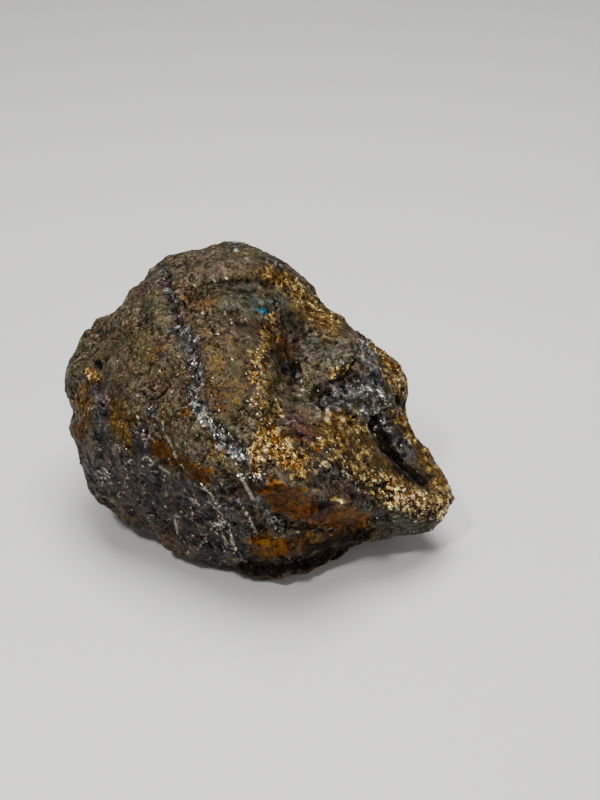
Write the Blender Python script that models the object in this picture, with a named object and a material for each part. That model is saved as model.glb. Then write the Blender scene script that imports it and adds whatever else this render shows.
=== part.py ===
"""A hand-sized piece of rough, massive chalcopyrite, resting on its flattest broken face.

The stone grew and broke as one piece, so it is one solid. It is laid out in millimetres as
it is seen from in front: right, up, and out towards the viewer. Landmarks on its surface
set the large shape, flat breaks trim it, strokes add its ridges, grooves and pits, and a
fine unevenness covers all of it. It is then leaned back and cut flat where it rests.
"""

import math
from typing import NamedTuple

import bmesh
import bpy
import numpy as np
from mathutils import Matrix, Vector, noise

MM = 0.001
LEAN_BACK_DEG = 35.0
TRIANGLES = 9400

# The landmarks are placed as they look from this point, in front of the stone.
EYE_RIGHT = 10.1
EYE_UP = 2.4
EYE_OUT = 330.0

# The stone's surface is measured out from this point inside it.
HEART = np.array((-2.0, -2.0, 0.0))

# Over what angle a landmark is felt, in radians, and how far the surface may pass beside one.
BLEND_ANGLE = 0.6
SLACK = 0.001

# How far the resting face lies below the heart, square to it.
BASE_DEPTH = 30.8

# The outline seen from in front, clockwise from the crown: right, up, out.
OUTLINE = (
    (-6.7, 40.2, -6.0),
    (-1.9, 39.6, -6.0),
    (5.3, 36.4, -6.0),
    (10.1, 31.6, -7.0),
    (16.1, 25.4, -8.0),
    (22.6, 18.8, -8.0),
    (28.8, 15.3, -7.0),
    (33.0, 10.6, -6.0),
    (35.8, 4.8, -4.0),
    (34.4, -0.2, -3.0),
    (38.8, -6.2, -2.0),
    (42.9, -14.2, -2.0),
    (47.0, -20.9, 2.0),
    (44.7, -23.6, 2.0),
    (44.4, -27.6, 1.0),
    (37.7, -29.4, 0.0),
    (28.1, -31.0, 0.0),
    (20.9, -33.6, 1.0),
    (14.9, -37.1, 2.0),
    (7.7, -39.6, 4.0),
    (-1.9, -39.0, 5.0),
    (-9.1, -36.2, 5.0),
    (-18.7, -33.3, 4.0),
    (-25.9, -29.4, 2.0),
    (-33.1, -25.7, 0.0),
    (-38.6, -21.4, -2.0),
    (-41.4, -15.1, -3.0),
    (-43.6, -7.2, -4.0),
    (-45.0, 0.7, -4.0),
    (-47.0, 6.2, -5.0),
    (-44.8, 14.0, -6.0),
    (-40.2, 19.5, -7.0),
    (-32.6, 25.6, -7.0),
    (-27.9, 30.6, -7.0),
    (-23.8, 35.8, -7.0),
    (-16.1, 38.8, -7.0),
)

# The cap above the crease that crosses the top of the stone.
CAP = (
    (-21.1, 32.4, 4.0),
    (-9.1, 35.5, 5.0),
    (1.7, 33.1, 4.0),
    (-13.9, 30.0, 11.0),
    (-1.9, 30.0, 10.0),
    (-15.1, 25.2, 14.0),
    (-1.9, 25.2, 13.0),
)

# The broad swelling face on the left, down to where it turns under.
BROAD_FACE = (
    (-35.5, 14.4, 8.0),
    (-25.9, 21.6, 12.0),
    (-13.9, 16.8, 20.0),
    (-1.9, 15.6, 21.0),
    (-37.9, 2.4, 13.0),
    (-25.9, 7.2, 20.0),
    (-13.9, 4.8, 26.0),
    (-1.9, 4.8, 27.0),
    (-40.3, -7.2, 11.0),
    (-30.7, -4.8, 19.0),
    (-18.7, -4.8, 27.0),
    (-7.9, -4.8, 30.0),
    (-0.7, -4.8, 30.0),
    (-39.1, -15.6, 8.0),
    (-30.7, -14.4, 17.0),
    (-21.1, -15.6, 24.0),
    (-10.3, -16.8, 29.0),
    (-1.9, -16.8, 31.0),
)

# The dark face below it, which leans back under the stone.
UNDERCUT = (
    (-30.7, -21.6, 9.0),
    (-21.1, -24.0, 16.0),
    (-11.5, -26.4, 20.0),
    (-3.1, -26.4, 24.0),
    (-13.9, -32.4, 10.0),
    (-4.3, -34.8, 13.0),
    (1.7, -34.8, 15.0),
    (10.1, -34.8, 11.0),
    (18.5, -31.2, 10.0),
)

# The hollow between the broad face and the right-hand lobe, and the saddle below it.
HOLLOW = (
    (10.6, 22.6, 5.0),
    (9.4, 14.4, 10.0),
    (8.2, 8.4, 15.0),
    (7.2, 2.4, 21.0),
    (7.7, -7.2, 29.0),
    (12.5, -3.6, 24.0),
    (10.1, -13.2, 31.0),
)

# The lobe at the upper right.
LOBE = (
    (14.9, 16.8, 9.0),
    (18.5, 12.0, 13.0),
    (16.1, 2.4, 18.0),
    (23.3, 7.2, 13.0),
    (26.9, 12.0, 8.0),
    (30.5, 6.0, 9.0),
    (25.7, 0.0, 15.0),
    (30.5, 0.0, 10.0),
)

# The nose that runs down to the tip at the right, with the trough behind its rim.
NOSE = (
    (20.9, -7.2, 22.0),
    (26.9, -7.2, 16.0),
    (19.7, -14.4, 26.0),
    (29.3, -4.8, 12.0),
    (32.9, -10.8, 9.5),
    (37.7, -16.1, 9.0),
    (35.6, -8.4, 5.5),
    (40.6, -14.4, 5.5),
    (26.9, -16.8, 21.0),
    (34.1, -19.2, 17.0),
    (40.1, -21.6, 12.0),
    (29.3, -24.0, 18.0),
    (36.5, -26.4, 9.0),
)

# The ledge across the lower middle and the smooth brown face below it.
LEDGE = (
    (4.1, -16.8, 33.0),
    (12.5, -19.2, 30.0),
    (19.7, -21.6, 25.0),
    (4.1, -22.8, 26.5),
    (11.3, -25.2, 21.5),
    (19.7, -26.4, 17.5),
    (28.1, -27.6, 12.0),
    (6.5, -29.3, 19.0),
    (17.3, -29.5, 15.5),
    (26.9, -30.0, 8.0),
)

# The back, which the resting face cuts off below.
BACK = (
    (-10.0, 27.0, -25.0),
    (-30.0, 12.0, -25.0),
    (-12.0, 10.0, -34.0),
    (6.0, 8.0, -33.0),
    (16.0, 12.0, -24.0),
    (27.0, 0.0, -21.0),
    (-37.0, -4.0, -20.0),
    (-26.0, -13.0, -34.0),
    (2.0, -14.0, -37.0),
    (24.0, -17.0, -31.0),
    (37.0, -19.0, -13.0),
    (-6.0, -28.0, -22.0),
    (17.0, -26.0, -22.0),
    (-24.0, -24.0, -20.0),
)


class Break(NamedTuple):
    """A flat face that a blow left: where it faces (right, up, out) and how far it is from the heart."""

    name: str
    facing: tuple
    depth: float


BREAKS = (
    Break("upper back", (-0.20, 0.48, -0.85), 33.0),
    Break("left back", (-0.74, 0.05, -0.67), 38.0),
    Break("right back", (0.62, 0.26, -0.74), 33.0),
    Break("lower back", (0.10, -0.30, -0.95), 35.5),
    Break("right flank", (0.70, -0.20, -0.68), 40.0),
    Break("dark lower face", (-0.45, -0.64, 0.62), 31.5),
    Break("left shoulder", (-0.62, 0.66, 0.42), 38.6),
)

# How deep a break's edges are rounded and from what difference in height, in millimetres.
BREAK_EDGE = 0.9
BREAK_EDGE_SPAN = 3.6

# The least leaning towards a break that still counts, so that directions along it never meet it.
LEAST_LEANING = 0.05


class Stroke(NamedTuple):
    """A ridge, groove or pit along a path of landmarks, in millimetres."""

    name: str
    height: float
    width: float
    path: tuple


STROKES = (
    Stroke(
        "crease under the cap", -2.1, 1.7,
        ((-19.0, 25.0, 12.0), (-15.0, 28.0, 12.0), (-8.0, 30.0, 10.0), (-2.0, 30.5, 9.0), (5.0, 30.0, 5.0)),
    ),
    Stroke(
        "lip of the cap", 1.3, 2.4,
        ((-17.0, 31.5, 8.0), (-8.0, 33.5, 6.0), (-1.0, 34.0, 5.0), (6.0, 33.0, 2.0)),
    ),
    Stroke(
        "crease above the middle", -1.0, 1.5,
        ((-5.0, 21.0, 17.0), (-1.0, 20.0, 18.0), (4.0, 19.5, 15.0)),
    ),
    Stroke(
        "hollow", -1.3, 3.0,
        ((10.0, 20.0, 5.0), (10.0, 14.0, 8.0), (7.8, 9.0, 13.0), (8.2, 4.0, 19.0)),
    ),
    Stroke(
        "edge of the broad face", 1.0, 2.1,
        ((3.2, 19.0, 17.0), (0.2, 12.0, 23.0), (1.0, 2.5, 28.0), (-0.6, -5.0, 31.0), (-2.5, -11.0, 32.0)),
    ),
    Stroke(
        "trough behind the rim", -4.0, 1.9,
        ((28.5, -3.5, 12.0), (30.3, -7.0, 11.0), (33.0, -11.5, 9.5), (36.5, -15.0, 9.0), (39.5, -17.5, 8.0)),
    ),
    Stroke(
        "rim of the trough", 1.5, 1.8,
        ((34.0, -5.0, 5.0), (37.0, -10.5, 4.5), (41.0, -16.0, 4.0)),
    ),
    Stroke(
        "edge of the ledge", 2.2, 1.7,
        ((0.0, -18.5, 31.0), (6.5, -17.5, 32.0), (13.0, -19.7, 30.0), (21.0, -22.3, 25.0)),
    ),
    Stroke(
        "foot of the brown face", -2.0, 1.7,
        ((4.0, -27.0, 23.0), (9.0, -29.5, 20.0), (18.0, -29.5, 17.0), (27.0, -30.5, 8.0)),
    ),
    Stroke("tip", 0.9, 0.9, ((47.0, -20.9, 2.0), (46.2, -20.7, 3.0))),
    Stroke("notch below the tip", -0.6, 1.0, ((45.5, -22.8, 0.5), (45.0, -23.0, 3.0))),
    Stroke(
        "long vein", -0.7, 1.4,
        ((-22.0, 35.5, 0.0), (-21.5, 26.5, 11.0), (-20.0, 21.0, 16.0), (-15.0, 13.0, 22.0), (-15.0, 6.0, 25.0)),
    ),
    Stroke(
        "edge above the dark face", 0.9, 2.0,
        ((-38.0, -14.0, 8.0), (-28.0, -13.0, 19.0), (-18.0, -17.0, 26.0), (-8.0, -20.0, 29.0)),
    ),
    Stroke("pit at the left", -2.4, 1.8, ((-38.5, 11.0, 8.0), (-38.2, 11.6, 8.0))),
    Stroke("notch under the knob", -1.2, 1.7, ((-45.5, 0.2, -3.0), (-43.5, -2.0, 4.0))),
    Stroke("pit at the right", -2.2, 1.8, ((33.6, 4.6, 3.0), (33.6, 3.4, 3.0))),
    Stroke("grey pocket", -1.2, 3.0, ((15.5, 3.0, 18.0), (19.5, 5.0, 16.0), (25.0, 8.0, 12.0))),
    Stroke("rim above the pocket", 0.8, 1.5, ((13.5, 6.5, 17.0), (18.0, 9.0, 15.0), (22.0, 13.0, 11.0))),
    Stroke("dent in the nose", -1.4, 3.0, ((30.0, -27.5, 15.0), (27.0, -27.0, 16.0))),
)

# How finely the starting ball is divided.
BALL_DIVISIONS = 7

# Unevenness all over: height and spacing of each size of bump, in millimetres, and where its noise starts.
LUMPS = ((0.9, 15.0), (0.5, 7.5))
LUMPS_START = Vector((7.3, 1.9, 4.1))

# Small broken faces: how wide, how steep and how scooped they are, and where the noise is read that
# tilts each one to the right, up and out.
CHIP_SIZE = 6.5
CHIP_TILT = 0.55
CHIP_SCOOP = 0.32
CHIP_SPACING = 1.7
CHIP_STARTS = (Vector((9.3, -1.5, -7.9)), Vector((0.0, 0.0, 0.0)), Vector((6.3, 0.2, -2.7)))

# The broad face, the left flank and the crown are calmer: their middles, how far the calm reaches,
# and how much of the unevenness is left there.
CALM_SPOTS = (
    ((-20.0, 6.0, 22.0), 24.0, 0.45),
    ((-43.0, -5.0, -3.0), 17.0, 0.30),
    ((2.0, 38.0, -6.0), 14.0, 0.45),
)


def placed(landmark):
    """The true place of a landmark that is given as it looks from the eye."""
    right, up, out = landmark
    nearer = 1 - out / EYE_OUT
    return np.array((EYE_RIGHT + (right - EYE_RIGHT) * nearer, EYE_UP + (up - EYE_UP) * nearer, out))


def likeness(a, b):
    """How alike the surface is in two sets of directions, from 1 to 0: a smooth curve of the angle."""
    turns = np.arccos(np.clip(a @ b.T, -1.0, 1.0)) / BLEND_ANGLE
    return (1 + turns) * np.exp(-turns)


def softly_lower(a, b):
    """The lower of two heights, with the corner between them rounded."""
    overlap = np.clip(1 - np.abs(a - b) / BREAK_EDGE_SPAN, 0.0, 1.0)
    return np.minimum(a, b) - BREAK_EDGE * overlap**2


class Surface:
    """How far the surface is from the heart: through all the landmarks, trimmed by the breaks."""

    def __init__(self, landmarks):
        reach = np.array([placed(mark) for mark in landmarks]) - HEART
        radii = np.linalg.norm(reach, axis=1)
        self.directions = reach / radii[:, None]
        self.mean = radii.mean()
        system = likeness(self.directions, self.directions) + SLACK * np.eye(len(radii))
        self.weights = np.linalg.solve(system, radii - self.mean)

    def radius(self, directions):
        radii = self.mean + likeness(directions, self.directions) @ self.weights
        for flat in BREAKS:
            facing = np.array(flat.facing) / np.linalg.norm(flat.facing)
            leaning = np.maximum(directions @ facing, LEAST_LEANING)
            radii = softly_lower(radii, flat.depth / leaning)
        return radii


def distance_to_path(points, path):
    """Each point's distance to a path of straight runs."""
    nearest = np.full(len(points), np.inf)
    for start, end in zip(path[:-1], path[1:]):
        run = end - start
        share = np.clip((points - start) @ run / (run @ run), 0.0, 1.0)
        nearest = np.minimum(nearest, np.linalg.norm(points - start - share[:, None] * run, axis=1))
    return nearest


def stroked(points, surface):
    """How far the strokes raise each point."""
    raised = np.zeros(len(points))
    for stroke in STROKES:
        aims = np.array([placed(mark) for mark in stroke.path]) - HEART
        aims /= np.linalg.norm(aims, axis=1)[:, None]
        path = HEART + aims * surface.radius(aims)[:, None]
        raised += stroke.height * np.exp(-((distance_to_path(points, path) / stroke.width) ** 2))
    return raised


def chip(point):
    """The height of the small broken faces at a point: each is a tilted, slightly scooped cell."""
    place = point / CHIP_SIZE
    distances, centres = noise.voronoi(place)
    heights = []
    for distance, centre in zip(distances, centres):
        tilt = Vector([noise.noise(centre * CHIP_SPACING + start) for start in CHIP_STARTS]) * CHIP_TILT
        heights.append(tilt.dot(place - centre) + CHIP_SCOOP * distance**2)
    return CHIP_SIZE * min(heights)


def unevenness(point):
    """The height of the bumps and chips at a point."""
    bumps = sum(height * noise.noise(point / spacing + LUMPS_START) for height, spacing in LUMPS)
    return bumps + chip(point)


def calmed(points):
    """How much of the unevenness each point keeps."""
    kept = np.ones(len(points))
    for middle, reach, left in CALM_SPOTS:
        away = np.linalg.norm(points - np.array(middle), axis=1) / reach
        kept *= 1 - (1 - left) * np.exp(-(away**2))
    return kept


def rough_stone():
    """The stone's mesh in front view, before the resting face is cut."""
    bpy.ops.mesh.primitive_ico_sphere_add(subdivisions=BALL_DIVISIONS, radius=1.0)
    stone = bpy.context.active_object
    stone.name = stone.data.name = "chalcopyrite"
    mesh = stone.data
    directions = np.empty(len(mesh.vertices) * 3)
    mesh.vertices.foreach_get("co", directions)
    directions = directions.reshape(-1, 3)
    directions /= np.linalg.norm(directions, axis=1)[:, None]
    surface = Surface(OUTLINE + CAP + BROAD_FACE + UNDERCUT + HOLLOW + LOBE + NOSE + LEDGE + BACK)
    radii = surface.radius(directions)
    points = HEART + directions * radii[:, None]
    rough = np.array([unevenness(Vector(point)) for point in points])
    radii = radii + stroked(points, surface) + (rough - rough.mean()) * calmed(points)
    points = HEART + directions * radii[:, None]
    # From right, up and out to Blender's X, Z and -Y.
    upright = np.column_stack((points[:, 0], -points[:, 2], points[:, 1])) * MM
    mesh.vertices.foreach_set("co", upright.ravel())
    mesh.update()
    return stone


def turned_faces_out(stone):
    """Turns the faces outwards, because the change of axes mirrored the mesh."""
    shape = bmesh.new()
    shape.from_mesh(stone.data)
    bmesh.ops.recalc_face_normals(shape, faces=shape.faces)
    shape.to_mesh(stone.data)
    shape.free()


def thinned(stone):
    """Keeps the triangles where the surface bends and drops them where it is plain."""
    thin = stone.modifiers.new("thin", "DECIMATE")
    thin.ratio = TRIANGLES / len(stone.data.polygons)
    with bpy.context.temp_override(object=stone):
        bpy.ops.object.modifier_apply(modifier=thin.name)


def leaned_back(stone):
    """Leans the stone back, cuts its resting face and puts the point of it under the heart at the origin."""
    lean = Matrix.Rotation(-math.radians(LEAN_BACK_DEG), 4, "X")
    stone.data.transform(lean)
    heart = lean @ Vector((HEART[0], -HEART[2], HEART[1])) * MM
    floor = heart.z - BASE_DEPTH * MM
    shape = bmesh.new()
    shape.from_mesh(stone.data)
    everything = shape.verts[:] + shape.edges[:] + shape.faces[:]
    cut = bmesh.ops.bisect_plane(
        shape, geom=everything, plane_co=(0, 0, floor), plane_no=(0, 0, -1), clear_outer=True, dist=1e-7
    )
    rim = [part for part in cut["geom_cut"] if isinstance(part, bmesh.types.BMEdge)]
    bmesh.ops.contextual_create(shape, geom=rim)
    bmesh.ops.triangulate(shape, faces=[face for face in shape.faces if len(face.verts) > 3])
    bmesh.ops.recalc_face_normals(shape, faces=shape.faces)
    bmesh.ops.translate(shape, verts=shape.verts, vec=(-heart.x, -heart.y, -floor))
    shape.to_mesh(stone.data)
    shape.free()


def tarnished_sulphide():
    """The brown-bronze tarnish that covers most of the stone."""
    material = bpy.data.materials.new("chalcopyrite")
    material.use_nodes = True
    finish = material.node_tree.nodes["Principled BSDF"]
    finish.inputs["Base Color"].default_value = (0.145, 0.108, 0.058, 1.0)
    finish.inputs["Metallic"].default_value = 0.6
    finish.inputs["Roughness"].default_value = 0.5
    return material


def main():
    for thing in list(bpy.data.objects):
        bpy.data.objects.remove(thing)
    stone = rough_stone()
    turned_faces_out(stone)
    thinned(stone)
    leaned_back(stone)
    stone.data.materials.append(tarnished_sulphide())
    stone.data.shade_smooth()


if __name__ == "__main__":
    main()
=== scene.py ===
"""The looks of a hand-sized piece of rough, tarnished chalcopyrite.

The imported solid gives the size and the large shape. Here its surface is refined into
granular, broken ore, its minerals are painted on in zones, and bright grains are set into
the richest of them. Places on the stone are given as they are seen from in front, in
millimetres to the right and up.
"""

import logging
import math
from dataclasses import dataclass
from enum import Enum

import bpy
import numpy as np
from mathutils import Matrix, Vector, noise


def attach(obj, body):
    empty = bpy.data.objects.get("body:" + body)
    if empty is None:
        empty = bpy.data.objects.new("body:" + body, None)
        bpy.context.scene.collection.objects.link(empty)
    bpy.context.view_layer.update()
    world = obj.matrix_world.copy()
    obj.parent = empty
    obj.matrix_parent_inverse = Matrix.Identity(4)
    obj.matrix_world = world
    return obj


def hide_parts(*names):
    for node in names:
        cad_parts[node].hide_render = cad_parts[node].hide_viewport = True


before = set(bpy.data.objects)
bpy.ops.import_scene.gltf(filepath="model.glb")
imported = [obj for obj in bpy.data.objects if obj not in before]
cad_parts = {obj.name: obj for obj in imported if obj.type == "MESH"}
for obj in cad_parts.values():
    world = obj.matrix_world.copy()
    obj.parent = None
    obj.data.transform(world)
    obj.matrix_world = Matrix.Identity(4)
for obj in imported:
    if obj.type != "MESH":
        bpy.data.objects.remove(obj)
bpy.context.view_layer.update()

LOG = logging.getLogger("chalcopyrite")

MM = 0.001
BODY = "root"
SOLID = "chalcopyrite"
HALVES = (0.5, 0.5, 0.5)

Colour = tuple[float, float, float]
Point = tuple[float, float, float]
Path = tuple[tuple[float, float], ...]
Shape = tuple[np.ndarray, np.ndarray]
Source = bpy.types.NodeSocket | float | tuple


class Mineral(Enum):
    """What a part of the surface is made of or how it has weathered, and where painted shade darkens it."""

    GOLD = "gold"
    OCHRE = "ochre"
    STEEL = "steel"
    SLATE = "slate"
    RUST = "rust"
    EARTH = "earth"
    GREEN = "green"
    TEAL = "teal"
    VIOLET = "violet"
    PALE = "pale"
    # Painted shade: near black in the trough, the valley, pits, creases, under the cap and at the foot.
    DARK = "dark"
    GLINT = "glint"
    EVEN = "even"


class Mark(Enum):
    """A shape that is pressed into the surface or stands out from it."""

    CRACK = -1.0
    RIDGE = 1.0


@dataclass(frozen=True)
class Patch:
    """A place where a mineral shows: a path seen from in front, and how far it spreads beside it, in mm."""

    path: Path
    spread: float
    strength: float = 1.0


@dataclass(frozen=True)
class Deposit:
    """All the places in front where one mineral shows."""

    mineral: Mineral
    patches: tuple[Patch, ...]


@dataclass(frozen=True)
class Line:
    """A crack or a low ridge: a path seen from in front, its half width and its depth, in mm."""

    path: Path
    spread: float
    depth: float


@dataclass(frozen=True)
class Wild:
    """How one mineral spreads over the sides that are only guessed: patch size in mm, and its share."""

    mineral: Mineral
    size: float
    share: float
    veined: bool = False
    strength: float = 1.0


@dataclass(frozen=True)
class Relief:
    """One layer of unevenness: its texture, the size of its lumps and its depth in mm, and where it is."""

    name: str
    texture: str
    size: float
    depth: float
    group: str


@dataclass(frozen=True)
class Finish:
    """The look of one mineral's grains, or of the painted shade: darkest, lightest, and the tint its light
    grains drift to.
    """

    mineral: Mineral | None
    dark: Colour
    light: Colour
    tint: Colour
    metallic: float
    roughness: float
    speckle: float = 0.0
    middle: Colour | None = None


@dataclass(frozen=True)
class Lamp:
    """A square soft light: where it hangs and the length of its side in metres, and its power in watts."""

    name: str
    place: Point
    size: float
    power: float
    colour: Colour


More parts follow.
